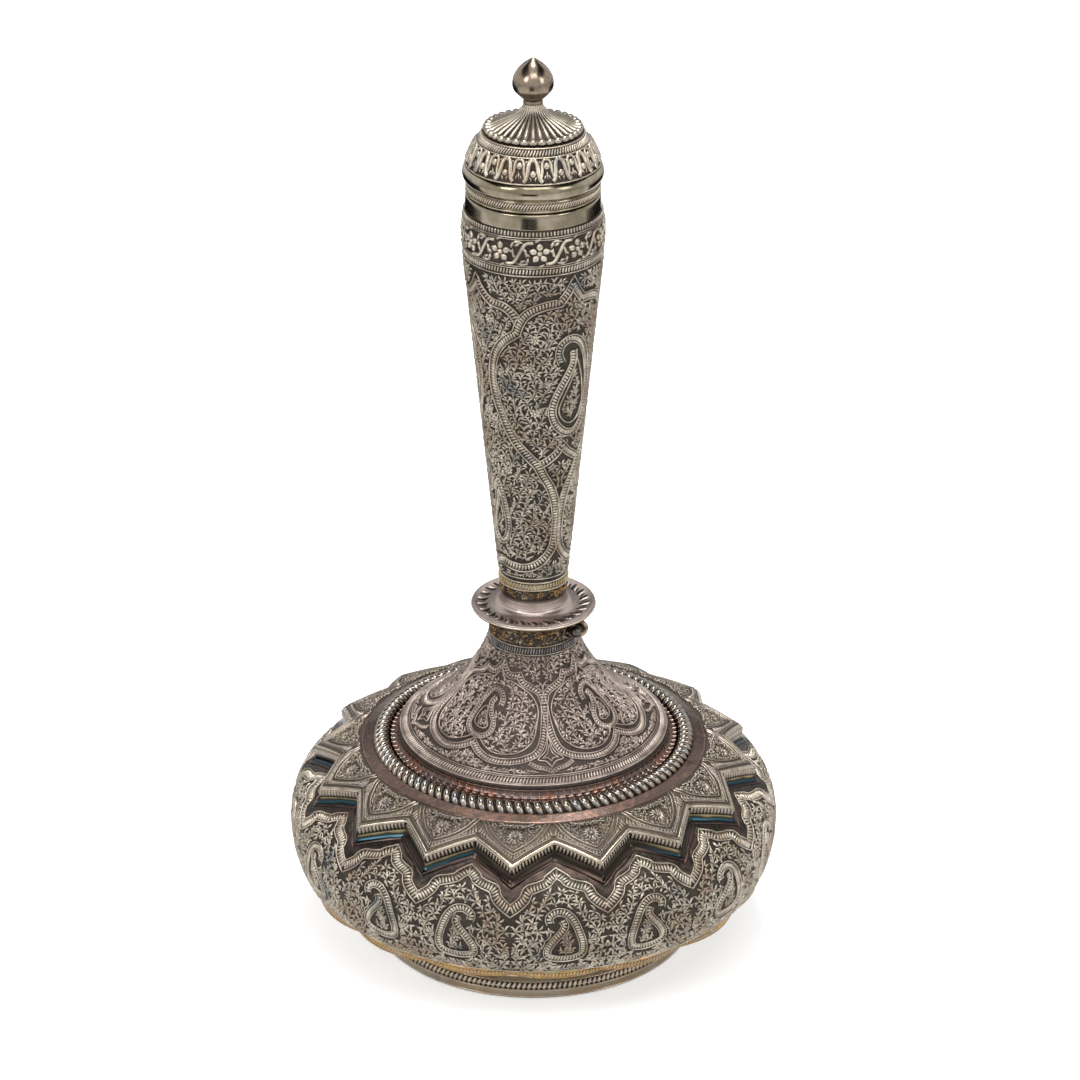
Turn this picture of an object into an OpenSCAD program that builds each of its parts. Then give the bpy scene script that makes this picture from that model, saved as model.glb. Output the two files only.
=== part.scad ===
// Rosewater sprinkler: footed bowl with a star shoulder, lift-off trumpet neck
// and a lift-off domed cap with a finial. Millimetres, +Z up, origin at the
// centre of the foot's resting face. Azimuths are counted from the front (-Y)
// towards +X.

/* [Bowl] */
// Radius of the bowl at its widest
body_r = 74.1; // [68:0.1:80]
// Thickness of the raised sheet
wall = 1.8; // [1.4:0.1:2.4]
// Radius of the foot ring where it rests
foot_r = 49.3; // [44:0.1:53]
// Height of the foot under the bowl
foot_h = 19.3; // [15:0.1:22]
// Height of the scalloped edge under the bowl wall
lobe_h = 2.8; // [2:0.1:4]
// Height of the bowl wall, from the scalloped edge to its top ledge
bowl_h = 34.9; // [31:0.1:38]

/* [Star shoulder] */
// Number of star points, and of lobes under the bowl
star_n = 16; // [12:1:18]
// Reach of the star points past the copper band, at their top edge
star_reach = 15.2; // [13.6:0.1:16.4]
// Depth of the inner corners between the points
star_cut = 8.2; // [6.6:0.1:9.8]
// Height of the star's upright edge
star_h = 5.2; // [4:0.1:6]
// Width of the plain copper band inside the star
copper_w = 4; // [3:0.1:5]
// Number of reeds in the gadrooned ring
reed_n = 104; // [72:2:112]
// Width of the gadrooned ring
reed_w = 5; // [4.4:0.1:5.6]
// Depth of the grooves between the reeds
reed_depth = 0.9; // [0.5:0.1:1.2]
// Width of the cove between the reeds and the bell
cove_w = 2.7; // [2.2:0.1:3.2]

/* [Bell and collar] */
// Outer radius of the bell at its foot
bell_r = 40.8; // [39.6:0.1:41.6]
// Height of the bell, from its foot to the collar
bell_h = 31.4; // [28:0.2:34]
// Radius where the bell meets the collar
throat_r = 13.6; // [13:0.1:15]
// Height of the collar between bell and flange
collar_h = 10; // [9:0.5:13]
// Radius of the dished flange
flange_r = 18.6; // [17.6:0.1:21]
// Thickness of the flange
flange_t = 2.2; // [1.8:0.1:3]
// Height of the neck socket above the flange
socket_h = 7.8; // [6:0.2:10]

/* [Neck] */
// Radius of the neck at its foot
neck_foot_r = 9.9; // [9.6:0.1:10.6]
// Greatest radius of the neck, under the mouth
neck_top_r = 20.4; // [19.6:0.1:21.4]
// Length of the neck, from the socket's rim to the mouth's rim
neck_len = 123; // [110:1:136]
// Depth of the neck's plug in the socket
plug_len = 11; // [8:0.5:13]
// Depth of the sprinkler rose under the mouth ring
rose_depth = 9.5; // [8:0.5:12]
// Diameter of the holes in the sprinkler rose
rose_hole_d = 1.8; // [1.2:0.1:2.2]

/* [Cap] */
// Greatest radius of the cap, at its bead
cap_r = 20.2; // [19.6:0.1:21]
// Height of the cap's domed shell above the bead
dome_h = 9.8; // [8.6:0.1:12]
// Number of ribs of the canopy under the finial
flute_n = 34; // [24:2:40]
// Depth of the grooves between the canopy's ribs
flute_depth = 0.8; // [0.4:0.1:1]
// Radius of the canopy over its flutes
canopy_r = 13.6; // [12.4:0.1:14]
// Height of the canopy
canopy_h = 8.4; // [7:0.1:10]
// Height of the finial with its stem
finial_h = 13.2; // [11:0.1:16]
// Radius of the finial's bud
bud_r = 5.9; // [5:0.1:7]

/* [Chain eye] */
// Azimuth of the eye on the collar
eye_az = 66; // [40:1:140]
// Radius of the bore in the eye
eye_bore_r = 1.25; // [1.1:0.05:1.4]

/* [Fits] */
// Radial clearance of a piece that slides or turns in another
running = 0.05; // [0.02:0.01:0.1]
// Gap left where one body rests on another
seat_gap = 0.3; // [0.2:0.05:0.4]

/* [Hidden] */
$fn = 128;

// Colours as the photograph shows them
silver = [0.66, 0.62, 0.57];
dark_silver = [0.36, 0.32, 0.29];
bright_silver = [0.80, 0.76, 0.70];
copper = [0.66, 0.42, 0.33];
gilt = [0.72, 0.58, 0.40];

// The rings inside the star stand side by side on the bowl's ledge, from the bell outwards
cove_in_r = bell_r - 4;
reed_in_r = bell_r + cove_w;
reed_out_r = reed_in_r + reed_w;
copper_r = reed_out_r + copper_w;
reed_a = 360 / reed_n;
reed_slant = 0.4 * reed_a;

// Levels of the bowl, whose side breaks into the shoulder just outside the star points
lobe_z = foot_h;
bowl_z = lobe_z + lobe_h;
ledge_z = bowl_z + bowl_h;
ring_z = ledge_z + star_h;
bell_z = ring_z + 3.8;
star_tip_r = copper_r + star_reach;
star_notch_r = star_tip_r - star_cut;
break_z = ledge_z - 7.6;
break_r = star_tip_r + 2;
bowl_foot_r = body_r - 4.1;
floor_t = 2;
floor_r = bowl_foot_r - 9;

// The star's prism tapers, so its points stand further out at the bottom
star_turn = -5.3;
star_pitch = 360 / star_n;
star_bottom_z = break_z - 1;
star_top_z = ledge_z + star_h + 1;
star_taper = 1.045;
star_over = 7.5;
star_grow = 1 + (star_taper - 1) * (break_z + star_h - star_bottom_z) / (star_top_z - star_bottom_z);

// Levels from the bell up to the socket
bell_rim_h = 1.8;
collar_z = bell_z + bell_h;
flange_z = collar_z + collar_h;
dish_z = flange_z + flange_t - 0.8;
socket_z = dish_z + socket_h;
plug_r = neck_foot_r - 1.6;
socket_bore_r = plug_r + running;
collar_top_r = throat_r - 1.5;
collar_bore_r = socket_bore_r;
plug_bore_r = plug_r - 1.6;

// Levels of the neck
neck_z = socket_z + seat_gap;
base_ring_h = 2.3;
tube_z = neck_z + base_ring_h;
mouth_z = neck_z + neck_len;
mouth_h = 4.6;
tube_top_z = mouth_z - mouth_h;
swell_z = tube_z + 0.76 * (tube_top_z - tube_z);
swell_r = neck_top_r - 1.8;
rim_r = neck_top_r - 1;
bezel_r = rim_r - 2.8;
mouth_bore_r = bezel_r + running;
rose_z = tube_top_z - rose_depth;
rose_seat_r = neck_top_r - 4.4;
rose_r = rose_seat_r + 1.6;
rose_t = 1.6;

// Levels of the cap
cap_z = mouth_z + seat_gap;
skirt_h = 3.4;
bead_z = cap_z + skirt_h;
bead_h = 5;
dome_z = bead_z + bead_h;
bezel_len = 9;
skirt_r = cap_r - 1.1;
dome_foot_r = cap_r - 0.9;
dome_top_r = canopy_r + 0.4;
canopy_z = dome_z + dome_h;
bud_z = canopy_z + canopy_h;
stem_r = bud_r * 0.46;
canopy_top_r = stem_r + 0.7;
peg_r = 1.4;
peg_head_z = bud_z + finial_h * 0.45;
washer_r = 4;
washer_t = 0.8;
nut_r = 3.2;
nut_h = 2.4;
peg_foot_z = canopy_z - wall - washer_t - nut_h - 1.2;

// Eye and pin under the flange's edge
eye_r = 2.5;
eye_t = 1.7;
eye_dist = 15.2;
eye_z = collar_z + collar_h / 2 + 0.5;
eye_post_r = 0.8;
eye_post_end = 11.2;
pin_ball_r = 1.8;
pin_gap = 0.15;

// Point of a Bezier curve with the control points p, at t from 0 to 1
function bez(p, t) = len(p) == 1 ? p[0]
    : bez([for (i = [0:len(p) - 2]) (1 - t) * p[i] + t * p[i + 1]], t);
function curve(p, n = 10) = [for (i = [0:n]) bez(p, i / n)];

// Unit normal of an open outline at its point i, to the left of its direction
function left_normal(p, i) =
    let (d = p[min(i + 1, len(p) - 1)] - p[max(i - 1, 0)]) [-d[1], d[0]] / norm(d);
function inset(p, t) = [for (i = [0:len(p) - 1]) p[i] + t * left_normal(p, i)];
function flip(p) = [for (i = [len(p) - 1:-1:0]) p[i]];
function lift(p, h) = [for (q = p) [q[0], q[1] + h]];
function polar(r, a) = [r * cos(a), r * sin(a)];
function stand(q, a) = [q[0] * cos(a), q[0] * sin(a), q[1]];

// Outlines, each running upwards on the outside
bowl_side = curve([[bowl_foot_r, bowl_z], [body_r - 0.1, bowl_z + 0.16 * bowl_h],
                   [body_r + 2.6, bowl_z + 0.6 * bowl_h], [break_r, break_z]], 14);
shoulder = curve([[break_r, break_z], [break_r - 4, break_z + 2.4],
                  [copper_r + 6.5, ledge_z - 2.1], [copper_r, ledge_z]], 5);
bell_side = curve([[bell_r, bell_z + bell_rim_h], [bell_r * 0.64, bell_z + 0.33 * bell_h],
                   [throat_r + 3.8, bell_z + 0.64 * bell_h], [throat_r, collar_z]], 14);
tube_side = concat([[neck_foot_r + 0.1, tube_z]],
                   curve([[swell_r, swell_z], [swell_r + 1.1, swell_z + 9.5],
                          [neck_top_r + 0.5, tube_top_z - 9], [neck_top_r - 0.5, tube_top_z]], 8));
dome_side = concat(curve([[dome_foot_r, dome_z], [dome_foot_r - 1.2, dome_z + 0.3 * dome_h],
                          [dome_foot_r - 2.4, dome_z + 0.6 * dome_h],
                          [dome_foot_r - 3.2, dome_z + 0.7 * dome_h]], 4),
                   curve([[dome_top_r + 1.9, dome_z + 0.76 * dome_h],
                          [dome_top_r + 1.2, dome_z + 0.88 * dome_h],
                          [dome_top_r, canopy_z]], 3));
canopy_side = curve([[canopy_r, canopy_z], [canopy_r - 1.4, canopy_z + 0.46 * canopy_h],
                     [0.52 * canopy_r, canopy_z + 0.74 * canopy_h], [canopy_top_r, bud_z]], 8);

module revolve(points) {
    rotate_extrude() polygon(points);
}

module ring(r_out, r_in, z, h) {
    translate([0, 0, z])
        difference() {
            cylinder(r = r_out, h = h);
            translate([0, 0, -1]) cylinder(r = r_in, h = h + 2);
        }
}

// Closed ring through standing sections, each a loop of points that runs anticlockwise
module ribbed_ring(sections) {
    n = len(sections);
    m = len(sections[0]);
    polyhedron(
        points = [for (s = sections) each s],
        faces = [for (j = [0:n - 1]) for (i = [0:m - 1])
            let (k = (j + 1) % n, l = (i + 1) % m)
                each [[j * m + i, j * m + l, k * m + l], [j * m + i, k * m + l, k * m + i]]]);
}

// Places its children at the eye: +X points outwards, the origin is the bore's centre
module at_eye() {
    rotate([0, 0, eye_az - 90])
        translate([eye_dist, 0, eye_z])
            children();
}

function star_outline(tip, notch) =
    [for (k = [0:2 * star_n - 1])
        polar(k % 2 == 0 ? tip : notch, star_turn - 90 + k * star_pitch / 2)];

module foot_ring() {
    color(gilt) revolve(concat(
        [[foot_r - 4.8, 0], [foot_r, 0], [foot_r, 2.9], [foot_r - 0.9, 5.2]],
        curve([[foot_r - 2.6, 5.8], [foot_r - 4, foot_h * 0.6], [foot_r - 2, foot_h]], 6),
        [[foot_r - 4.8, foot_h]]));
}

module base_plate() {
    color(silver) translate([0, 0, lobe_z]) cylinder(r = floor_r, h = floor_t);
}

// Sixteen round lobes side by side, with their cusps under the star points
module lobe_ring() {
    half = star_pitch / 2;
    lobe_out = bowl_foot_r + 0.2;
    cusp_r = bowl_foot_r - 1.9;
    lobe_c = (pow(lobe_out, 2) - pow(cusp_r, 2)) / (2 * (lobe_out - cusp_r * cos(half)));
    color(copper) translate([0, 0, lobe_z])
        difference() {
            linear_extrude(lobe_h)
                union() {
                    circle(r = cusp_r - 1);
                    for (k = [0:star_n - 1])
                        rotate(star_turn - 90 + (k + 0.5) * star_pitch)
                            translate([lobe_c, 0]) circle(r = lobe_out - lobe_c, $fn = 64);
                }
            translate([0, 0, -1]) cylinder(r = floor_r, h = lobe_h + 2);
        }
}

module bowl_wall() {
    outer = concat(bowl_side, [for (i = [1:len(shoulder) - 1]) shoulder[i]]);
    inner = inset(outer, wall);
    color(silver) revolve(concat(
        outer, [[cove_in_r, ledge_z], [cove_in_r, ledge_z - wall]],
        flip([for (p = inner) if (p[1] > bowl_z + 0.5 && p[1] < ledge_z - wall - 0.1) p]),
        [[bowl_foot_r - wall, bowl_z]]));
}

// Sixteen-pointed star that follows the bowl's shoulder, one star_h above it
module star_plate() {
    top = lift(shoulder, star_h);
    color(bright_silver) intersection() {
        translate([0, 0, star_bottom_z])
            linear_extrude(star_top_z - star_bottom_z, scale = 1 / star_taper)
                polygon(star_outline(star_tip_r * star_grow, star_notch_r * star_grow));
        revolve(concat([[break_r + star_over, break_z - star_over]], shoulder,
                       flip(concat([[break_r + star_over, break_z + star_h - star_over]], top))));
    }
}

module copper_band() {
    color(copper) revolve([[reed_out_r, ledge_z], [copper_r, ledge_z], [copper_r, ring_z],
                           [reed_out_r + 0.4, ring_z + 1.2], [reed_out_r, ring_z + 1]]);
}

// Half-round ring of reeds that lean a little as they run over it
module gadroon_ring() {
    crest = curve([[reed_out_r, ring_z + 0.9], [reed_out_r + 0.2, ring_z + 0.7 * reed_w],
                   [reed_in_r + 0.3 * reed_w, ring_z + reed_w], [reed_in_r, ring_z + 2.2]], 5);
    groove = inset(crest, reed_depth);
    function section(side, a) = concat(
        [stand([reed_in_r, ledge_z], a), stand([reed_out_r, ledge_z], a)],
        [for (i = [0:len(side) - 1]) stand(side[i], a - i / (len(side) - 1) * reed_slant)]);
    color(bright_silver) ribbed_ring([for (k = [0:reed_n - 1]) each [
        section(groove, k * reed_a), section(crest, (k + 0.3) * reed_a), section(crest, (k + 0.7) * reed_a)]]);
}

module cove_ring() {
    color(dark_silver) revolve(concat(
        [[cove_in_r, ledge_z], [reed_in_r, ledge_z]],
        curve([[reed_in_r, ring_z + 2.4], [reed_in_r - 1.2, ring_z + 2.2],
               [bell_r + 0.4, ring_z + 2.6], [bell_r + 0.2, bell_z + 0.8]], 6),
        [[bell_r, bell_z + 0.8], [bell_r, bell_z], [cove_in_r, bell_z]]));
}

module bell() {
    inner = inset(bell_side, wall);
    color(silver) revolve(concat(
        [[bell_r - wall - 1, bell_z], [bell_r, bell_z]], bell_side,
        [[collar_bore_r, collar_z], [collar_bore_r, collar_z - 1]],
        flip([for (p = inner) if (p[0] > collar_bore_r + 0.3 && p[0] < bell_r - wall - 1.4) p])));
}

module throat_collar() {
    color(dark_silver) difference() {
        revolve(concat(
            [[collar_bore_r, collar_z]],
            curve([[throat_r, collar_z], [throat_r - 0.6, collar_z + 0.4 * collar_h],
                   [collar_top_r + 0.2, collar_z + 0.6 * collar_h], [collar_top_r, flange_z]], 6),
            [[collar_bore_r, flange_z]]));
        at_eye() translate([eye_post_end - eye_dist, 0, 0])
            rotate([0, 90, 0]) cylinder(r = eye_post_r, h = 6);
    }
}

module flange() {
    color(bright_silver) revolve(concat(
        [[collar_bore_r, flange_z], [flange_r - 1.6, flange_z],
         [flange_r - 0.2, flange_z + 0.4]],
        curve([[flange_r, flange_z + 0.9], [flange_r, flange_z + flange_t],
               [flange_r - 0.8, flange_z + flange_t]], 3),
        curve([[flange_r - 1.4, flange_z + flange_t - 0.2], [flange_r - 3.2, dish_z - 0.2],
               [neck_foot_r + 3.4, dish_z]], 4),
        [[collar_bore_r, dish_z]]));
}

// Short chased cylinder that spreads into the dished flange
module neck_socket() {
    color(dark_silver) revolve(concat(
        [[socket_bore_r, dish_z]],
        curve([[neck_foot_r + 3.2, dish_z], [neck_foot_r + 0.8, dish_z + 0.2],
               [neck_foot_r, dish_z + 1.4], [neck_foot_r - 0.1, dish_z + 4]], 6),
        [[neck_foot_r - 0.1, socket_z], [socket_bore_r, socket_z]]));
}

module chain_eye() {
    color(gilt) difference() {
        at_eye() union() {
            translate([0, eye_t / 2, 0]) rotate([90, 0, 0]) cylinder(r = eye_r, h = eye_t);
            translate([eye_post_end - eye_dist, 0, 0])
                rotate([0, 90, 0]) cylinder(r = eye_post_r, h = eye_dist - eye_post_end - eye_r + 0.4);
        }
        at_eye() translate([0, eye_t, 0]) rotate([90, 0, 0]) cylinder(r = eye_bore_r, h = 2 * eye_t);
    }
}

// Ball-headed pin that turns in the eye and is held by a button at its far end
module eye_pin() {
    half = eye_t / 2 + pin_gap;
    head_c = half + sqrt(pow(pin_ball_r, 2) - pow(eye_bore_r, 2));
    color(dark_silver) at_eye() rotate([90, 0, 0]) union() {
        translate([0, 0, -half]) cylinder(r = eye_bore_r - running, h = half + head_c);
        translate([0, 0, head_c + 0.3]) sphere(r = pin_ball_r, $fn = 48);
        translate([0, 0, -half - 0.8]) cylinder(r = eye_bore_r + 0.35, h = 0.8);
    }
}

module neck_plug() {
    color(silver) ring(plug_r, plug_bore_r, neck_z - plug_len, plug_len);
}

module neck_base_ring() {
    color(silver) revolve([[plug_bore_r, neck_z], [neck_foot_r, neck_z],
                           [neck_foot_r + 0.3, neck_z + 0.4],
                           [neck_foot_r + 0.3, tube_z - 0.4], [neck_foot_r + 0.1, tube_z],
                           [plug_bore_r, tube_z]]);
}

// Hollow trumpet with an inner ledge for the rose and a wide throat above it
module neck_tube() {
    inner_foot = [plug_bore_r, tube_z];
    color(silver) revolve(concat(
        [inner_foot], tube_side,
        [[rose_r, tube_top_z], [rose_r, rose_z], [rose_seat_r, rose_z],
         [rose_seat_r, rose_z - 2], [swell_r - wall, swell_z]]));
}

// Perforated disc with rings of small holes
module sprinkler_rose() {
    color(bright_silver) difference() {
        translate([0, 0, rose_z]) cylinder(r = rose_r, h = rose_t);
        for (row = [0:3])
            for (k = [0:max(1, 6 * row) - 1])
                rotate([0, 0, k * 60 / max(1, row)])
                    translate([row * rose_seat_r / 4, 0, rose_z - 1])
                        cylinder(d = rose_hole_d, h = rose_t + 2, $fn = 24);
    }
}

module mouth_ring() {
    color(bright_silver) revolve([[mouth_bore_r, tube_top_z], [neck_top_r - 0.6, tube_top_z],
                                  [rim_r + 0.1, mouth_z - 0.9], [rim_r, mouth_z - 0.2],
                                  [rim_r - 0.3, mouth_z], [mouth_bore_r, mouth_z]]);
}

module cap_bezel() {
    color(silver) ring(bezel_r, bezel_r - 1.2, bead_z - bezel_len - skirt_h, bezel_len + skirt_h);
}

module cap_skirt() {
    color(dark_silver) ring(skirt_r, bezel_r, cap_z, skirt_h);
}

module cap_bead() {
    color(bright_silver) revolve(concat(
        [[bezel_r - 1.2, bead_z], [skirt_r, bead_z]],
        curve([[skirt_r + 0.3, bead_z + 0.4], [cap_r + 0.4, bead_z + 1.4],
               [cap_r + 0.4, bead_z + bead_h - 1.4], [dome_foot_r + 0.3, dome_z - 0.3]], 6),
        [[dome_foot_r, dome_z], [bezel_r - 1.2, dome_z]]));
}

module cap_dome() {
    inner = inset(dome_side, wall);
    color(silver) revolve(concat(
        [[dome_foot_r - wall - 0.6, dome_z]], dome_side, [[peg_r, canopy_z], [peg_r, canopy_z - wall]],
        [[dome_top_r - 1, canopy_z - wall]],
        flip([for (p = inner) if (p[1] > dome_z + 0.5 && p[1] < canopy_z - wall - 0.3) p])));
}

// Umbrella of ribs that spread from the finial's stem, hollow underneath
module cap_canopy() {
    flute_a = 360 / flute_n;
    core_r = peg_r / 2;
    inner = inset(canopy_side, 1.2 + flute_depth);
    function section(depth, a) = concat(
        [stand([core_r, canopy_z], a)],
        [for (i = [0:len(canopy_side) - 1]) let (q = canopy_side[i])
            stand(i == 0 ? q - [depth, 0] : q + depth * q[0] / canopy_r * left_normal(canopy_side, i), a)],
        [stand([core_r, bud_z], a)]);
    color(bright_silver) difference() {
        ribbed_ring([for (k = [0:flute_n - 1]) for (i = [0:3])
            section(flute_depth * (1 - sin(i * 45)), (k + i / 4) * flute_a)]);
        translate([0, 0, canopy_z - 1]) cylinder(r = peg_r, h = canopy_h + 2);
        revolve(concat(
            [[0, canopy_z - 1], [canopy_r - 3, canopy_z - 1], [canopy_r - 3, canopy_z]],
            [for (p = inner) if (p[1] > canopy_z + 0.5 && p[1] < bud_z - 1.7) p],
            [[0, bud_z - 1.7]]));
    }
}

module finial_peg() {
    color(dark_silver) translate([0, 0, peg_foot_z]) cylinder(r = peg_r, h = peg_head_z - peg_foot_z);
}

module peg_washer() {
    color(silver) ring(washer_r, peg_r, canopy_z - wall - washer_t, washer_t);
}

module peg_nut() {
    color(silver) translate([0, 0, canopy_z - wall - washer_t - nut_h])
        difference() {
            cylinder(r = nut_r, h = nut_h, $fn = 6);
            translate([0, 0, -1]) cylinder(r = peg_r, h = nut_h + 2);
        }
}

// Onion bud with a drawn-up point, over a waisted stem
module finial_bud() {
    widest_z = bud_z + 0.57 * finial_h;
    color(bright_silver) difference() {
        revolve(concat(
            [[0, bud_z], [canopy_top_r, bud_z]],
            curve([[stem_r + 0.4, bud_z + 0.8], [stem_r - 0.2, bud_z + 0.12 * finial_h],
                   [stem_r, bud_z + 0.18 * finial_h]], 4),
            curve([[stem_r + 0.3, bud_z + 0.22 * finial_h], [bud_r, bud_z + 0.34 * finial_h],
                   [bud_r, widest_z]], 6),
            curve([[bud_r - 0.03, widest_z + 0.3], [bud_r - 0.3, bud_z + 0.8 * finial_h],
                   [bud_r * 0.26, bud_z + 0.82 * finial_h], [0, bud_z + finial_h]], 8)));
        translate([0, 0, bud_z - 1]) cylinder(r = peg_r, h = peg_head_z - bud_z + 1);
    }
}

foot_ring();
base_plate();
lobe_ring();
bowl_wall();
star_plate();
copper_band();
gadroon_ring();
cove_ring();
bell();
throat_collar();
flange();
neck_socket();
chain_eye();
eye_pin();
neck_plug();
neck_base_ring();
neck_tube();
sprinkler_rose();
mouth_ring();
cap_bezel();
cap_skirt();
cap_bead();
cap_dome();
cap_canopy();
finial_peg();
peg_washer();
peg_nut();
finial_bud();
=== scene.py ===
import math
import random

import bmesh
import bpy
import numpy as np
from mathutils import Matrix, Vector


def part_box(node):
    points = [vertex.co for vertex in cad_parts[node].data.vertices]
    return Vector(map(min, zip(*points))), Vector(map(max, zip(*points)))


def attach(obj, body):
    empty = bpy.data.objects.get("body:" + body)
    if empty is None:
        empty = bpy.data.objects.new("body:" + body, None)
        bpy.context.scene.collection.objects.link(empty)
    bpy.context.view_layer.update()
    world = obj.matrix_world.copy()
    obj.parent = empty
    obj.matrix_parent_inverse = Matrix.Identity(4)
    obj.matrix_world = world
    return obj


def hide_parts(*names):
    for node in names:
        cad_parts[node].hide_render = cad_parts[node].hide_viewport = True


# A chased silver sprinkler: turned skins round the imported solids, raised leaves, straps and
# borders on them, and tarnished finishes. Lengths are millimetres until a mesh is made.
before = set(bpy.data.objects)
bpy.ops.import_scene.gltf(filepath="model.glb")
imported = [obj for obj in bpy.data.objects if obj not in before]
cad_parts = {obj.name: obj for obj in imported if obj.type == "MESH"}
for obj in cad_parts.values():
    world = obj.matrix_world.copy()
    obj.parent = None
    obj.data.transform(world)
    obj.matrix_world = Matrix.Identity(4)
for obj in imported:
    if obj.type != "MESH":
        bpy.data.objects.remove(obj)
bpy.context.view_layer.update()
MM = 0.001
STAR_N = 16
TIP_AZ = -5.3
HALF_STAR = 180 / STAR_N
ROOT = 0.5
CREST_FULL = 0.5


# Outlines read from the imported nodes

def z_of(node, top=True):
    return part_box(node)[1 if top else 0].z / MM


def r_of(node):
    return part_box(node)[1].x / MM


def node_rings(node):
    """A turned node's section as a closed loop of [radius, height], anticlockwise"""
    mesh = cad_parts[node].data
    places = np.array([v.co[:] for v in mesh.vertices]) / MM
    keys = np.round(np.column_stack([np.hypot(places[:, 0], places[:, 1]), places[:, 2]]), 2)
    rings, ring_of = np.unique(keys, axis=0, return_inverse=True)
    ring_of = ring_of.ravel()
    near = [{} for _ in rings]
    for face in mesh.polygons:
        used = sorted({int(ring_of[v]) for v in face.vertices})
        if len(used) == 2:
            for a, b in (used, used[::-1]):
                near[a][b] = near[a].get(b, 0) + 1
    loop = [int(np.lexsort((rings[:, 0], rings[:, 1]))[0])]
    while len(loop) < len(rings):
        beside = near[loop[-1]]
        steps = [k for k in sorted(beside, key=beside.get, reverse=True) if k not in loop]
        if not steps:
            break
        loop.append(steps[0])
    section = rings[loop]
    turn = np.roll(section, -1, axis=0)
    clockwise = (section[:, 0] * turn[:, 1] - turn[:, 0] * section[:, 1]).sum() < 0
    return section[::-1] if clockwise else section


def outer_side(section, low=0, high=999):
    """The part of a section that runs up its outside between two heights"""
    section = np.roll(section, -int(np.argmax(section[:, 0])), axis=0)
    up = [section[0]]
    for q in section[1:]:
        if q[1] < up[-1][1]:
            break
        up.append(q)
    down = []
    for q in section[::-1]:
        if q[1] > (down[-1] if down else up[0])[1]:
            break
        down.append(q)
    side = np.array(down[::-1] + up)
    return side[(side[:, 1] > low - 0.05) & (side[:, 1] < high + 0.05)]


def softened(points, closed=True, parts=3, fillet=0.18, sharp=28):
    """Rounds a section: flowing stretches become one curve and sharp corners get a small fillet"""
    points = np.array(points, float)
    n = len(points)
    ahead = np.roll(points, -1, axis=0) - points
    behind = points - np.roll(points, 1, axis=0)
    cosine = (ahead * behind).sum(1) / (np.hypot(*ahead.T) * np.hypot(*behind.T) + 1e-9)
    corner = np.degrees(np.arccos(np.clip(cosine, -1, 1))) > sharp
    if not closed:
        corner[0] = corner[-1] = True
    made = []
    for i in range(n if closed else n - 1):
        j = (i + 1) % n
        a, b = points[i], points[j]
        span = b - a
        length = math.hypot(*span)
        if length < 1e-6:
            continue
        cut = min(fillet, length / 3)
        if corner[i] and (closed or i > 0):
            made.append(a + span / length * cut)
        elif not corner[i] or i == 0:
            made.append(a)
        if not corner[i] or not corner[j]:
            m0 = span if corner[i] else (points[j] - points[i - 1]) / 2
            m1 = span if corner[j] else (points[(j + 1) % n] - points[i]) / 2
            for t in np.arange(1, parts) / parts:
                made.append((2 * t**3 - 3 * t**2 + 1) * a + (t**3 - 2 * t**2 + t) * m0
                            + (3 * t**2 - 2 * t**3) * b + (t**3 - t**2) * m1)
        if corner[j] and (closed or j < n - 1):
            made.append(b - span / length * cut)
    return np.array(made if closed else made + [points[-1]])


def outward(line, t=1.0):
    """Unit normal on the right of a line at each of its points"""
    along = np.gradient(line, t, axis=0)
    return np.column_stack([along[:, 1], -along[:, 0]]) / np.hypot(*along.T)[:, None]


def polar(r, a, z):
    """Places at radii, angles in radians and heights"""
    return np.column_stack([r * np.sin(a), -r * np.cos(a), z])


def bezier(points, t):
    points = [np.array(p, float) for p in points]
    t = np.asarray(t)[:, None]
    while len(points) > 1:
        points = [(1 - t) * a + t * b for a, b in zip(points, points[1:])]
    return points[0]


def tube_faces(n, k, closed=False, inward=False):
    """Quads between n rows of k points, with both ends capped unless the last row meets the first"""
    faces = [(i * k + (j + 1) % k, i * k + j, (i + 1) % n * k + j, (i + 1) % n * k + (j + 1) % k)
             for i in range(n if closed else n - 1) for j in range(k)]
    if not closed:
        faces += [tuple(range(k)), tuple(range(n * k - 1, (n - 1) * k - 1, -1))]
    return [f[::-1] for f in faces] if inward else faces


class Side:
    """A turned surface that the chasing lies on: arc length to radius, height and outward normal"""

    def __init__(self, points, parts=4, body="vessel"):
        points = softened(points, False, parts, 0.05)
        points = points[np.append(True, np.hypot(*np.diff(points, axis=0).T) > 1e-4)]
        self.body = body
        self.r, self.z = points.T
        self.s = np.append(0, np.cumsum(np.hypot(*np.diff(points, axis=0).T)))
        self.out, self.up = outward(points, self.s).T

    def radius(self, s):
        return np.interp(s, self.s, self.r)

    def at_z(self, z):
        return float(np.interp(z, self.z, self.s))

    def at_r(self, r):
        order = np.argsort(self.r)
        return float(np.interp(r, self.r[order], self.s[order]))

    def on(self, points):
        """Points given as azimuth and height, as azimuth and arc length"""
        return [(a, self.at_z(z)) for a, z in points]

    def place(self, az, s, h):
        r, z, out, up = (np.interp(s, self.s, row) for row in (self.r, self.z, self.out, self.up))
        return polar(r + h * out, np.radians(az), z + h * up)


# Sections of raised work: across from -1 to 1, height from 0 to 1
ROUND = [(-1.0, -0.5), (-0.75, 0.65), (0.0, 1.0), (0.75, 0.65), (1.0, -0.5)]
PILLOW = [(-1.0, -0.5), (-0.55, 0.9), (0.55, 0.9), (1.0, -0.5)]
RIDGE = [(-1.0, -0.4), (0.0, 1.0), (1.0, -0.4)]
FLAT = [(-1.0, -0.5), (-0.92, 1.0), (0.92, 1.0), (1.0, -0.5)]

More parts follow.
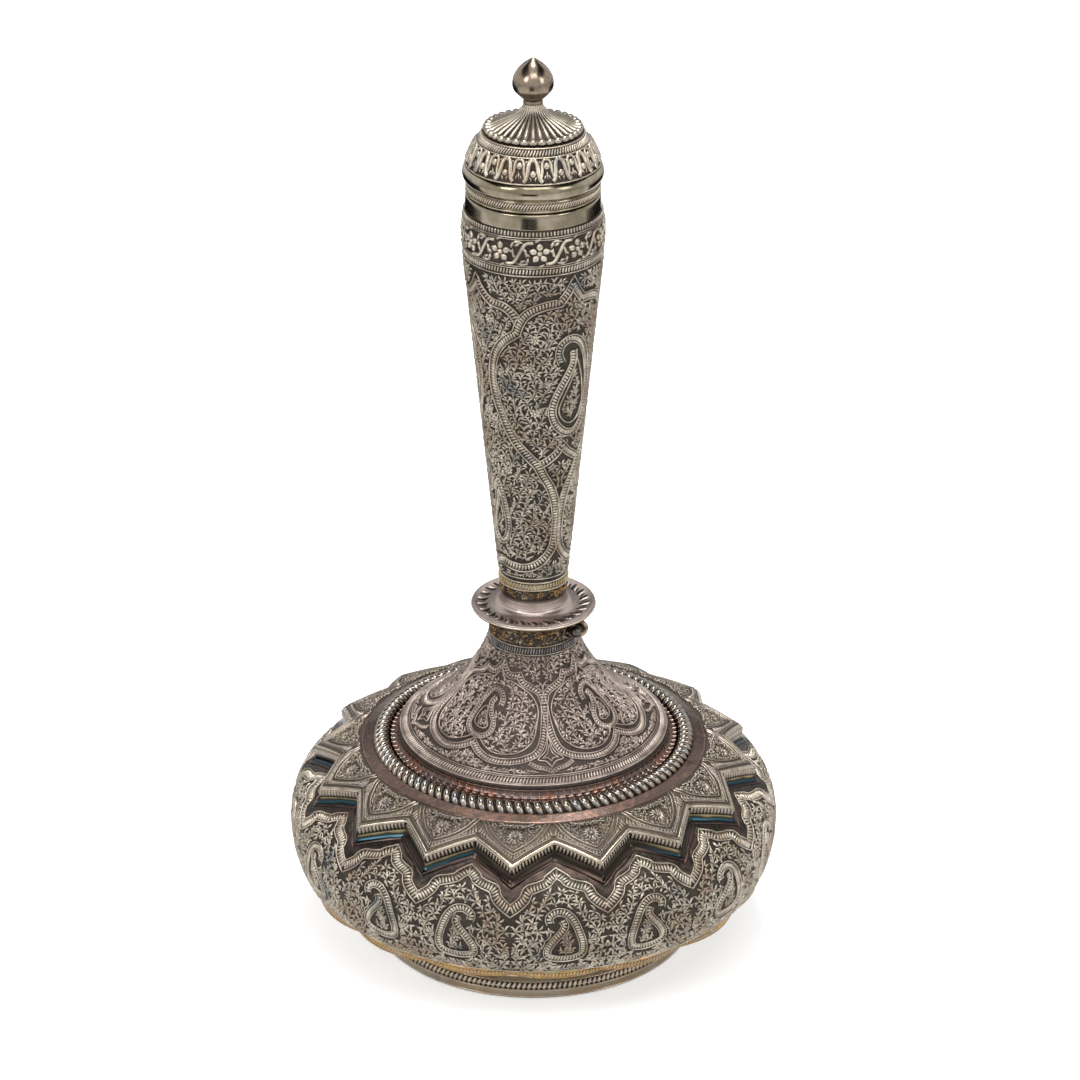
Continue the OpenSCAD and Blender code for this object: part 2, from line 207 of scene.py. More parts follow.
# A vine's nodes stand in staggered rows, each moved a little, and a stem joins those within reach
ROW_PITCH = 0.87
JITTER = 0.16
REACH = 2.2


class Relief:
    """Raised work on one side, kept as azimuth in degrees, arc length and height"""

    def __init__(self, side):
        self.side = side
        self.points = []
        self.faces = []
        self.count = 0

    def add(self, points, faces):
        self.points.append(points)
        self.faces += [tuple(v + self.count for v in f) for f in faces]
        self.count += len(points)

    def flow(self, control, step=0.7, closed=False):
        """Smooth path through control points, with even steps in millimetres"""
        p = np.array(control, float)
        n = len(p)
        dense = []
        for i in range(n if closed else n - 1):
            a, b = p[i], p[(i + 1) % n]
            before = p[(i - 1) % n] if closed or i > 0 else 2 * a - b
            after = p[(i + 2) % n] if closed or i < n - 2 else 2 * b - a
            for t in np.arange(8) / 8:
                dense.append(0.5 * (2 * a + (b - before) * t + (2 * before - 5 * a + 4 * b - after) * t**2
                                    + (3 * a - before - 3 * b + after) * t**3))
        dense = np.array(dense + [p[0] if closed else p[-1]])
        run = self.lengths(dense)
        at = np.linspace(0, run[-1], max(3, int(round(run[-1] / step)) + 1))
        even = np.column_stack([np.interp(at, run, dense[:, k]) for k in (0, 1)])
        return even[:-1] if closed else even

    def legs(self, controls, step=0.5):
        """Path of smooth legs that meet at sharp corners"""
        parts = [self.flow(c, step) for c in controls]
        return np.vstack([parts[0]] + [q[1:] for q in parts[1:]])

    def lengths(self, path):
        r = self.side.radius(path[:, 1])
        across = np.radians(np.diff(path[:, 0])) * (r[1:] + r[:-1]) / 2
        return np.append(0, np.cumsum(np.hypot(across, np.diff(path[:, 1]))))

    def normals(self, path, closed=False, mirrored=False):
        """Sideways direction at each point for an offset of one millimetre, mitred at corners"""
        r = self.side.radius(path[:, 1])
        ring, rr = (np.vstack([path, path[:1]]), np.append(r, r[0])) if closed else (path, r)
        dx = np.radians(np.diff(ring[:, 0])) * (rr[1:] + rr[:-1]) / 2
        dy = np.diff(ring[:, 1])
        n = np.column_stack([-dy, dx]) / (np.hypot(dx, dy) + 1e-9)[:, None]
        if closed:
            before, after = np.roll(n, 1, axis=0), n
        else:
            before, after = np.vstack([n[:1], n]), np.vstack([n, n[-1:]])
        if mirrored:
            before[0] = n[0] * (-1, 1)
            after[-1] = n[-1] * (-1, 1)
        mitre = (before + after) / np.maximum(1 + (before * after).sum(1), 0.35)[:, None]
        return np.column_stack([np.degrees(mitre[:, 0] / r), mitre[:, 1]])

    def sweep(self, path, half, height, section=ROUND, closed=False, mirrored=False):
        n = len(path)
        half, height = np.broadcast_to(half, n), np.broadcast_to(height, n)
        side = self.normals(path, closed, mirrored)
        points = np.empty((n, len(section), 3))
        for j, (across, up) in enumerate(section):
            points[:, j, :2] = path + (across * half)[:, None] * side
            points[:, j, 2] = up * (height if up > 0 else ROOT)
        self.add(points.reshape(-1, 3), tube_faces(n, len(section), closed))

    def hoop(self, s, width, height, section=ROUND, steps=180):
        """Closed line round the whole side"""
        rows = [(az, s + across * width / 2, up * (height if up > 0 else ROOT))
                for az in np.arange(steps) * 360 / steps for across, up in section]
        self.add(np.array(rows), tube_faces(steps, len(section), True))

    def wire(self, control, width=0.5, height=0.45, closed=False, step=0.7):
        self.sweep(self.flow(control, step, closed), width / 2, height, ROUND, closed)

    def leaf(self, az, s, angle, length, width, height=0.5, bend=0.0, section=RIDGE, stations=4):
        t = np.linspace(0, 1, stations)
        a = math.radians(angle)
        along = length * t
        off = bend * length * t * (1 - t) * 2
        x = along * math.cos(a) - off * math.sin(a)
        y = along * math.sin(a) + off * math.cos(a)
        path = np.column_stack([az + np.degrees(x / self.side.radius(s)), s + y])
        swell = np.sin(np.pi * (0.1 + 0.86 * t)) ** 0.8
        self.sweep(path, np.maximum(0.08, width / 2 * swell), height * (0.55 + 0.45 * swell), section)

    def stem(self, a, b, bow, width, height=0.42):
        a, b = np.array(a, float), np.array(b, float)
        r = self.side.radius((a[1] + b[1]) / 2)
        dx, dy = math.radians(b[0] - a[0]) * r, b[1] - a[1]
        middle = (a + b) / 2 + bow * np.array([math.degrees(-dy / r), dx])
        self.sweep(self.flow([a, middle, b], 1.1), width / 2, height, RIDGE)

    def button(self, az, s, radius, height=0.6):
        """Small dome"""
        turn = np.radians(np.arange(0, 360, 45))
        r = self.side.radius(s)
        points = [[az + math.degrees(k * radius * math.cos(a) / r), s + k * radius * math.sin(a), h]
                  for k, h in ((1.0, -0.3), (0.8, 0.7 * height), (0.4, height)) for a in turn]
        faces = [(j + i, j + (i + 1) % 8, j + 8 + (i + 1) % 8, j + 8 + i) for j in (0, 8) for i in range(8)]
        faces += [(16 + i, 16 + (i + 1) % 8, 24) for i in range(8)] + [tuple(range(7, -1, -1))]
        self.add(np.array(points + [[az, s, height * 1.05]]), faces)

    def daisy(self, az, s, radius, petals=7, turn=0.0, height=0.5):
        r = self.side.radius(s)
        for k in range(petals):
            a = turn + 360 * k / petals
            x, y = 0.3 * radius * math.cos(math.radians(a)), 0.3 * radius * math.sin(math.radians(a))
            self.leaf(az + math.degrees(x / r), s + y, a, 0.72 * radius, 4.2 * radius / petals, height,
                      section=PILLOW, stations=5)
        self.button(az, s, 0.3 * radius, height * 1.2)

    def strap(self, width, *controls, wire=0.45, gap=0.2, pitch=0.95, mirrored=False, step=0.5):
        """Hatched strap: a row of low bars between two wires that stand off from them"""
        path = self.legs(controls, step)
        side = self.normals(path, mirrored=mirrored)
        height = 0.5
        for edge in (-1, 1):
            self.sweep(path + edge * (width / 2 - wire / 2) * side, wire / 2, height, mirrored=mirrored)
        reach = width / 2 - wire - gap
        run = self.lengths(path)

        def at(x, rows):
            return np.array([np.interp(x, run, rows[:, k]) for k in (0, 1)])

        count = max(2, int(run[-1] / pitch))
        for x in (np.arange(count) + 0.5) / count * run[-1]:
            q = at(x, path)
            along = at(x + 0.35, path) - q
            across = at(x, side)
            bar = np.array([q - (reach - 0.02) * across, q + along * 0.3,
                            q + (reach - 0.02) * across + along])
            self.sweep(bar, pitch * 0.44, height * 0.8, PILLOW)

    def mirror(self, az):
        """Adds the mirror image of all that is there about one azimuth"""
        flipped = np.concatenate(self.points)
        flipped[:, 0] = 2 * az - flipped[:, 0]
        self.add(flipped, [f[::-1] for f in self.faces])

    def palm(self, az, s, radius, heading, stems, clear, leaf_width, count, rng, spread=200):
        """Spray of narrow leaves round a point, shorter where a border is near and none over a stem"""
        r = math.radians(1) * float(self.side.radius(s))
        for k in range(count):
            a = heading - spread / 2 + spread * k / (count - 1) + rng.uniform(-5, 5)
            if any(abs((a - c + 180) % 360 - 180) < 16 for c in stems):
                continue
            length = radius * rng.uniform(0.92, 1.12) * (1.08 - 0.3 * abs(2 * k / (count - 1) - 1))
            for _ in range(4):
                tip = (az + length * math.cos(math.radians(a)) / r, s + length * math.sin(math.radians(a)))
                if clear(tip) > 0.1:
                    break
                length *= 0.75
            if length > 0.35 * radius and clear(tip) > 0.05:
                x, y = 0.12 * length * math.cos(math.radians(a)), 0.12 * length * math.sin(math.radians(a))
                self.leaf(az + x / r, s + y, a, 0.88 * length, leaf_width * radius * rng.uniform(0.9, 1.1),
                          0.42 + 0.14 * rng.random(), rng.choice((-0.3, 0.3)))

    def vine(self, outline, root, spacing, seed, margin, stem=0.5, daisies=0.0, holes=(), width=0.42,
             count=5):
        """Fills an outline with a branching vine, whose nodes carry sprays of leaves or a daisy"""
        rng = random.Random(seed)
        borders = [np.array(ring, float) for ring in (outline, *holes)]

        def per_degree(s):
            return math.radians(1) * float(self.side.radius(s))

        def clear(p):
            """Distance to the nearest border, negative outside the outline or inside a hole"""
            found = 1e9
            for k, ring in enumerate(borders):
                a = np.column_stack([(ring[:, 0] - p[0]) * per_degree(p[1]), ring[:, 1] - p[1]])
                b = np.roll(a, -1, axis=0)
                d = b - a
                t = np.clip(-(a * d).sum(1) / ((d * d).sum(1) + 1e-9), 0, 1)
                gap = np.hypot(*(a + t[:, None] * d).T).min()
                crossing = (a[:, 1] > 0) != (b[:, 1] > 0)
                where = a[:, 0] - a[:, 1] * d[:, 0] / np.where(d[:, 1] == 0, 1e-9, d[:, 1])
                inside = (crossing & (where > 0)).sum() % 2 == 1
                found = min(found, gap if inside == (k == 0) else -gap)
            return found - margin

        def gap(a, b):
            return math.hypot((a[0] - b[0]) * per_degree((a[1] + b[1]) / 2), a[1] - b[1])

        def way(a, b, s):
            """Heading in degrees from a to b"""
            return math.degrees(math.atan2(b[1] - a[1], (b[0] - a[0]) * per_degree(s)))

        nodes = []
        (left, low), (right, high) = borders[0].min(0), borders[0].max(0)
        for j in range(int((high - low) / (spacing * ROW_PITCH)) + 1):
            s = low + (j + 0.5) * spacing * ROW_PITCH
            step = math.degrees(spacing / float(self.side.radius(s)))
            across = left + (j % 2) * step / 2
            while across < right:
                p = (across + rng.uniform(-JITTER, JITTER) * step,
                     s + rng.uniform(-JITTER, JITTER) * spacing)
                if clear(p) > 0.16 * spacing:
                    nodes.append(p)
                across += step
        nodes.sort(key=lambda p: gap(p, root))
        parents = {}
        for i, p in enumerate(nodes):
            parents[p] = min(nodes[:i] + [root], key=lambda q: gap(p, q) + 0.15 * gap(q, root))
        for p in nodes:
            q = parents[p]
            r = per_degree(p[1])
            heading = way(q, p, p[1])
            stems = [way(p, c, p[1]) for c in nodes if parents[c] == p and gap(c, p) < REACH * spacing]
            if gap(p, q) < REACH * spacing:
                self.stem(q, p, rng.choice((-0.2, 0.2)), stem)
                stems.append(heading + 180)
                for hand in (-1, 1):
                    at = rng.uniform(0.3, 0.5)
                    base = (q[0] + (p[0] - q[0]) * at, q[1] + (p[1] - q[1]) * at)
                    a = math.radians(heading + hand * rng.uniform(42, 60))
                    long = 0.56 * spacing
                    tip = (base[0] + long * math.cos(a) / r, base[1] + long * math.sin(a))
                    if clear(base) > 0.05 and clear(tip) > 0.1:
                        self.leaf(*base, math.degrees(a), long, 0.4 * long, 0.5, -0.35 * hand)
            if rng.random() < daisies and clear(p) > 0.3 * spacing:
                self.daisy(*p, min(0.5 * spacing, clear(p) + 0.2), 7, rng.uniform(0, 50))
            else:
                self.palm(*p, 0.74 * spacing, heading, stems, clear, width, count, rng)


# Node trees

class Value:
    """A node's output, whose arithmetic adds Math nodes"""

    def __init__(self, owner, socket):
        self.owner = owner
        self.socket = socket

    def math(self, operation, a, b):
        return self.owner.node("ShaderNodeMath", {"operation": operation}, a, b)

    def __add__(self, other):
        return self.math("ADD", self, other)

    def __radd__(self, other):
        return self.math("ADD", other, self)

    def __sub__(self, other):
        return self.math("SUBTRACT", self, other)

    def __rsub__(self, other):
        return self.math("SUBTRACT", other, self)

    def __mul__(self, other):
        return self.math("MULTIPLY", self, other)

    def __rmul__(self, other):
        return self.math("MULTIPLY", other, self)

    def __rtruediv__(self, other):
        return self.math("DIVIDE", other, self)

    def between(self, low, high):
        """0 below low, 1 above high, smooth between them"""
        return self.owner.node("ShaderNodeMapRange", {"interpolation_type": "SMOOTHSTEP"}, self, low, high)


class Nodes:
    """A node tree whose nodes are made with their inputs"""

    def __init__(self, tree):
        self.tree = tree

    def feed(self, node, values):
        """Links or sets a node's inputs, by name or place"""
        for key, value in values.items():
            if isinstance(value, Value):
                self.tree.links.new(value.socket, node.inputs[key])
            elif value is not None:
                node.inputs[key].default_value = value

    def node(self, kind, settings, *values, out=0):
        made = self.tree.nodes.new(kind)
        for key, value in settings.items():
            setattr(made, key, value)
        self.feed(made, dict(enumerate(values)))
        return Value(self, made.outputs[out])


class Finish(Nodes):
    """A metal finish"""

    def __init__(self, name, metallic=1.0, roughness=0.3):
        self.material = bpy.data.materials.new(name)
        self.material.use_nodes = True
        super().__init__(self.material.node_tree)
        self.shader = self.tree.nodes["Principled BSDF"]
        self.feed(self.shader, {"Metallic": metallic, "Roughness": roughness})
        self.place = self.node("ShaderNodeTexCoord", {}, out="Object")

    def noise(self, size, detail=2.0, roughness=0.5, stretch=(1, 1, 1)):
        """Noise with blobs of about size millimetres, finer along a stretched axis"""
        where = self.place
        if stretch != (1, 1, 1):
            where = self.node("ShaderNodeVectorMath", {"operation": "MULTIPLY"}, where, stretch)
        return self.node("ShaderNodeTexNoise", {}, where, None, 1 / (size * MM), detail, roughness)

    def mix(self, factor, a, b):
        colours = [c if isinstance(c, Value) else (*c, 1) for c in (a, b)]
        return self.node("ShaderNodeMix", {"data_type": "RGBA"}, factor, *[None] * 5, *colours, out=2)

    def ramp(self, factor, stops):
        made = self.node("ShaderNodeValToRGB", {}, factor)
        spots = made.socket.node.color_ramp.elements
        while len(spots) < len(stops):
            spots.new(0.5)
        for spot, (at, colour) in zip(spots, stops):
            spot.position = at
            spot.color = (*colour, 1)
        return made

    def tarnish(self, shades, size):
        """Slow drift through the shades over the surface"""
        stops = [(0.30 + 0.40 * k / (len(shades) - 1), shade) for k, shade in enumerate(shades)]
        return self.ramp(self.noise(size, 3.0, 0.6), stops)

    def attribute(self, name):
        return self.node("ShaderNodeAttribute", {"attribute_name": name}, out="Fac")

    def wear(self, colour, roughness, bump=None, depth=0.1):
        self.feed(self.shader, {"Base Color": colour, "Roughness": roughness})
        if bump is not None:
            lumps = self.node("ShaderNodeBump", {})
            self.feed(lumps.socket.node, {"Strength": 1.0, "Distance": depth * MM, "Height": bump})
            self.feed(self.shader, {"Normal": lumps})
        return self.material


# Meshes

def mesh_object(name, points, faces, finish, crest=None):
    mesh = bpy.data.meshes.new(name)
    mesh.from_pydata((np.asarray(points) * MM).tolist(), [], faces)
    if crest is not None:
        named_values(mesh, "crest", crest)
    mesh.polygons.foreach_set("use_smooth", [True] * len(mesh.polygons))
    mesh.materials.append(finish)
    mesh.update()
    return placed(name, mesh)


def named_values(mesh, name, values):
    """Own attribute of a mesh, one value for each point"""
    mesh.attributes.new(name, "FLOAT", "POINT").data.foreach_set("value", np.asarray(values, np.float32))


def placed(name, data):
    piece = bpy.data.objects.new(name, data)
    bpy.context.scene.collection.objects.link(piece)
    return piece


def polar_tree():
    """Node tree that sets copies of a mesh round the Z axis and makes them one mesh"""
    f = Nodes(bpy.data.node_groups.new("copies_round_the_axis", "GeometryNodeTree"))
    sockets = (("Geometry", "Geometry"), ("Count", "Int"), ("First turn", "Float"), ("Finish", "Material"))
    for name, kind in sockets:
        f.tree.interface.new_socket(name, in_out="INPUT", socket_type="NodeSocket" + kind)
    f.tree.interface.new_socket("Geometry", in_out="OUTPUT", socket_type="NodeSocketGeometry")
    given = f.tree.nodes.new("NodeGroupInput")
    motif, count, first, finish = (Value(f, given.outputs[name]) for name, _ in sockets)
    turn = f.node("GeometryNodeInputIndex", {}) * (math.tau / count) + first
    axis = f.node("ShaderNodeCombineXYZ", {}, None, None, turn)
    copies = f.node("GeometryNodeInstanceOnPoints", {}, f.node("GeometryNodePoints", {}, count))
    f.feed(copies.socket.node, {"Instance": motif, "Rotation": axis})
    real = f.node("GeometryNodeRealizeInstances", {}, copies)
    paint = f.node("GeometryNodeSetMaterial", {}, real)
    f.feed(paint.socket.node, {"Material": finish})
    f.feed(f.tree.nodes.new("NodeGroupOutput"), {0: paint})
    return f.tree


POLAR = polar_tree()


def ring_of(motif, count, finish, turn=0.0):
    """Replaces a motif by count copies of it round the Z axis, as one plain mesh"""
    arrange = motif.modifiers.new("ring", "NODES")
    arrange.node_group = POLAR
    values = {"Count": count, "First turn": math.radians(turn), "Finish": finish}
    for item in POLAR.interface.items_tree:
        if item.in_out == "INPUT" and item.name in values:
            arrange[item.identifier] = values[item.name]
    bpy.context.view_layer.update()
    mesh = bpy.data.meshes.new_from_object(motif.evaluated_get(bpy.context.evaluated_depsgraph_get()))
    name = motif.name
    bpy.data.objects.remove(motif)
    mesh.name = name
    return placed(name, mesh)


def settle(piece, body, slot, *nodes):
    """Gives a finished piece its body and hides the nodes that it stands for; slot is not used"""
    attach(piece, body)
    if nodes:
        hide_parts(*nodes)


def repeated(name, points, faces, finish, count, body, slot, crest=None, turn=0.0):
    """Makes a motif's mesh and repeats it round the axis"""
    piece = mesh_object(name, points, faces, finish, crest)
    settle(ring_of(piece, count, finish, turn) if count > 1 else piece, body, slot)


def raised(name, relief, count, finish, slot="silver", shift=None):
    """Makes a relief's mesh; shift moves it out from its side, by azimuth"""
    az, s, h = np.concatenate(relief.points).T
    places = relief.side.place(az, s, h + shift(az) if shift else h)
    # crest is 0 at the foot of the relief and 1 at its top; chased finishes darken the foot as oxide and
    # painted recess shade
    crest = np.clip(h / CREST_FULL, 0, 1)
    repeated(name, places, relief.faces, finish, count, relief.side.body, slot, crest)


def turned(name, section, finish, slot, node, body="vessel", steps=192, ripple=None):
    """Closed ring of a section; ripple gives radii and heights from turns round the axis and a point"""
    turns = np.arange(steps) / steps
    rows = []
    for q in section:
        r, z = ripple(turns, q) if ripple else np.repeat(q[:, None], steps, 1)
        rows.append(polar(r, turns * math.tau, z))
    on_axis = section[:, 0] < 0.02
    bare = on_axis & np.roll(on_axis, -1)
    faces = [f for k, f in enumerate(tube_faces(len(section), steps, True, True)) if not bare[k // steps]]
    piece = mesh_object(name, np.concatenate(rows), faces, finish)
    if on_axis.any():
        work = bmesh.new()
        work.from_mesh(piece.data)
        bmesh.ops.remove_doubles(work, verts=work.verts, dist=0.02 * MM)
        bmesh.ops.recalc_face_normals(work, faces=work.faces)
        work.to_mesh(piece.data)
        work.free()
    settle(piece, body, slot, node)


# Finishes

SILVER = (0.44, 0.39, 0.32)
PALE = (0.66, 0.59, 0.49)
WARM = (0.43, 0.35, 0.26)
ROSE = (0.38, 0.30, 0.28)
STEEL = (0.29, 0.29, 0.28)
GOLD = (0.45, 0.33, 0.14)
# dark foot of chased work: oxide in the hollows together with painted recess shade
OXIDE_AND_RECESS_SHADE = (0.012, 0.010, 0.009)
BRONZE = (0.13, 0.10, 0.07)
GRAIN = (0.8, 3.0, 0.6)


def mirror_tarnish():
    """Steep polished faces: tarnish colours mixed with painted reflection bands, olive above, then dark
    steel blue, then plum brown at the foot; faces turned one way take a painted teal and black reflection
    """
    f = Finish("mirror_tarnish", 1.0, 0.14)
    # painted reflection: the colour bands down the wall stand for the surroundings mirrored in it, blended
    # with tarnish
    level = f.attribute("down") + (f.noise(7) - 0.5) * 0.5
    blue = f.ramp(level, [
        (0.0, (0.30, 0.24, 0.13)), (0.16, (0.03, 0.026, 0.02)), (0.32, (0.025, 0.07, 0.09)),
        (0.48, (0.012, 0.012, 0.013)), (0.7, (0.06, 0.042, 0.04)), (1.0, (0.13, 0.09, 0.075))])
    brown = f.ramp(level, [
        (0.0, (0.055, 0.045, 0.033)), (0.25, (0.022, 0.018, 0.015)), (0.55, (0.04, 0.03, 0.025)),
        (0.8, (0.10, 0.062, 0.05)), (1.0, (0.07, 0.05, 0.04))])
    # painted reflection: faces marked by the side attribute take the blue ramp, the others the brown one
    return f.wear(f.mix(f.attribute("painted_reflection_side"), brown, blue), 0.12 + f.noise(1.5) * 0.16)


def socket_tone():
    """Socket: oxidised up its sides, worn pink on the flare that lies in the dish"""
    f = Finish("socket_tone")
    height = f.node("ShaderNodeSeparateXYZ", {}, f.place, out=2)
    grain = f.noise(*GRAIN)
    dark = f.tarnish([(0.02, 0.018, 0.016), (0.06, 0.05, 0.04), (0.035, 0.025, 0.02)], 4)
    pink = f.tarnish([(0.42, 0.34, 0.31), (0.50, 0.42, 0.38)], 5)
    return f.wear(f.mix(height.between(0.1138, 0.1120), dark, pink), 0.24 + grain * 0.2, grain, 0.03)


def plain(name, shades, size, rough, spread, bump=0.02, stretch=(1, 1, 1)):
    """Burnished metal whose tarnish drifts through a few shades"""
    f = Finish(name, 1.0, rough)
    grain = f.noise(*GRAIN, stretch)
    return f.wear(f.tarnish(shades, size), rough + grain * spread, grain, bump)


def chased(name, shades, size, foot, low=0.0, high=0.22):
    """Chased work: tarnish shades on its crests, and at its foot a dark tone that is oxide in the hollows
    and painted recess shade
    """
    f = Finish(name, 1.0, 0.38)
    grain = f.noise(*GRAIN)
    tone = f.mix(grain.between(0.4, 0.7) * 0.3, f.tarnish(shades, size), BRONZE)
    # painted recess shade with oxide: the relief's low points take the dark foot colour
    colour = f.mix(f.attribute("crest").between(low, high), foot, tone)
    return f.wear(colour, 0.28 + grain * 0.22, grain, 0.05)


def ground(name, shades, speck, size=6):
    """Punched ground between the leaves"""
    f = Finish(name, 0.9, 0.5)
    dots = f.node("ShaderNodeTexVoronoi", {}, f.place, None, 1 / (0.9 * MM))
    tone = f.mix(dots.between(0.1, 0.6) * 0.5, f.tarnish(shades, size), speck)
    return f.wear(tone, 0.42 + f.noise(2.0) * 0.2, dots)


CHASED = chased("chased_silver", [STEEL, SILVER, PALE, SILVER, WARM, ROSE], 11, OXIDE_AND_RECESS_SHADE, 0.05, 0.27)
GILT_WORK = chased("chased_gilt", [SILVER, WARM, GOLD, (0.55, 0.42, 0.26), SILVER], 9, OXIDE_AND_RECESS_SHADE)
GILT_DARK = chased("worn_gilding", [
    (0.05, 0.038, 0.032), (0.10, 0.075, 0.06), (0.42, 0.26, 0.11), (0.09, 0.07, 0.06), (0.46, 0.36, 0.24),
    (0.06, 0.045, 0.04)], 5, (0.01, 0.008, 0.007))
PALE_WORK = chased("pale_chased", [(0.50, 0.42, 0.33), (0.60, 0.51, 0.40), (0.44, 0.38, 0.33)], 9,
                   (0.03, 0.022, 0.016))
STEEL_CHASED = chased("steel_chased", [(0.34, 0.31, 0.27), (0.13, 0.115, 0.12), (0.30, 0.28, 0.26),
                                       (0.10, 0.09, 0.12), (0.40, 0.37, 0.32)], 9, OXIDE_AND_RECESS_SHADE)
BELL_CHASED = chased("bell_chased", [(0.38, 0.31, 0.27), (0.68, 0.58, 0.51), (0.42, 0.34, 0.30), SILVER], 10,
                     (0.018, 0.013, 0.011), 0.1, 0.32)
STAR_CHASED = chased("star_chased", [
    (0.28, 0.25, 0.19), (0.38, 0.33, 0.26), (0.33, 0.28, 0.25), (0.40, 0.37, 0.31)], 9, (0.015, 0.012, 0.01))
FEATHER = chased("feather_silver", [(0.48, 0.39, 0.35), (0.64, 0.55, 0.49), (0.52, 0.45, 0.39)], 6, OXIDE_AND_RECESS_SHADE)
FLANGE_CUT = plain("flange_cut", [(0.02, 0.016, 0.014), (0.055, 0.042, 0.036)], 4, 0.35, 0.2)
GROUND = ground("oxidised_ground", [(0.013, 0.0125, 0.012), (0.03, 0.025, 0.02), (0.052, 0.042, 0.033)],
                (0.075, 0.062, 0.05))
BELL_GROUND = ground("bell_ground", [
    (0.03, 0.024, 0.02), (0.06, 0.045, 0.039), (0.042, 0.034, 0.03), (0.026, 0.023, 0.02)],
    (0.095, 0.075, 0.065), 8)
STAR_GROUND = ground("star_ground", [(0.06, 0.05, 0.036), (0.09, 0.074, 0.052), (0.08, 0.06, 0.05),
                                     (0.075, 0.066, 0.05)], (0.12, 0.10, 0.075), 7)
BEVEL = plain("cream_bevel", [(0.30, 0.255, 0.19), (0.46, 0.40, 0.32), (0.24, 0.20, 0.15)], 7, 0.16, 0.14)
WALL_TONE = plain("wall_tone", [(0.03, 0.024, 0.018), (0.07, 0.052, 0.04), (0.045, 0.038, 0.033)],
                  8, 0.3, 0.15)
FLOOR_TONE = plain("shoulder_tone", [
    (0.024, 0.021, 0.018), (0.045, 0.037, 0.03), (0.075, 0.052, 0.044), (0.034, 0.031, 0.026),
    (0.085, 0.074, 0.06)], 5, 0.28, 0.24)
POLISHED = plain("polished_silver", [
    (0.14, 0.13, 0.095), (0.24, 0.205, 0.14), (0.38, 0.335, 0.26), (0.27, 0.21, 0.13)], 12, 0.08, 0.14, 0.01,
    (1, 1, 5))
COPPER = plain("copper_tone", [(0.08, 0.055, 0.046), (0.17, 0.108, 0.087), (0.12, 0.088, 0.076),
                               (0.23, 0.14, 0.105), (0.09, 0.07, 0.06)], 6, 0.18, 0.22)
COVE = plain("cove_tone", [
    (0.08, 0.052, 0.045), (0.18, 0.09, 0.062), (0.11, 0.078, 0.07), (0.15, 0.11, 0.095)], 7, 0.16, 0.2)
LOBE_TONE = plain("lobe_gilding", [
    (0.34, 0.20, 0.14), (0.44, 0.30, 0.10), (0.34, 0.17, 0.09), (0.36, 0.31, 0.16), (0.30, 0.22, 0.20)],
    5, 0.16, 0.18)
PALE_GILT = plain("pale_gilt", [
    (0.50, 0.40, 0.34), (0.58, 0.46, 0.33), (0.64, 0.56, 0.45), (0.46, 0.40, 0.36)], 12, 0.16, 0.18, 0.02,
    (1, 1, 4))
REED_SHADE = plain("reed_shade", [(0.015, 0.012, 0.01), (0.045, 0.034, 0.028)], 6, 0.36, 0.2)
REED_SILVER = plain("reed_silver", [
    (0.17, 0.18, 0.19), (0.32, 0.30, 0.27), (0.27, 0.22, 0.17), (0.20, 0.21, 0.23)], 5, 0.12, 0.12)
RIDGE_SILVER = plain("ridge_silver", [(0.26, 0.19, 0.16), (0.38, 0.32, 0.28)], 8, 0.24, 0.15)
CANOPY_SILVER = plain("canopy_silver", [(0.22, 0.20, 0.165), (0.40, 0.36, 0.29), (0.30, 0.25, 0.20)],
                      6, 0.26, 0.14)
BUD_TONE = plain("bud_bronze", [
    (0.18, 0.14, 0.105), (0.29, 0.235, 0.18), (0.24, 0.17, 0.13), (0.35, 0.305, 0.24)], 4, 0.14, 0.14)
BALL_TONE = plain("ball_bronze", [(0.10, 0.09, 0.08), (0.15, 0.13, 0.11)], 3, 0.24, 0.05)
LOOP_TONE = plain("loop_bronze", [(0.34, 0.26, 0.18), (0.42, 0.33, 0.24)], 3, 0.2, 0.15)
INNER = plain("inner_silver", [(0.42, 0.39, 0.35), (0.60, 0.56, 0.50)], 5, 0.28, 0.15, 0.01, (1, 1, 6))
FLANGE_TONE = plain("flange_tone", [(0.34, 0.28, 0.26), (0.46, 0.38, 0.35), (0.40, 0.36, 0.31)], 6, 0.2, 0.2)


# Turned skins

def bud_outline():
    """Drop-shaped bud: bowed up to its tip, drawn in to its foot"""
    low, high = z_of("finial_bud", False), z_of("finial_bud")
    belly = [(2.95, 0), (2.7, 0.5), (3.0, 1.2), (4.4, 2.5), (5.4, 3.6), (5.85, 4.8), (5.9, 6.1), (5.7, 7.4),
             (5.1, 8.8), (4.1, 10.2), (2.9, 11.4)]
    return np.array([(1.4, low)] + [(r, low + z) for r, z in belly] + [(1.7, high - 0.9), (0.7, high - 0.2),
                                                                       (0.0, high)])


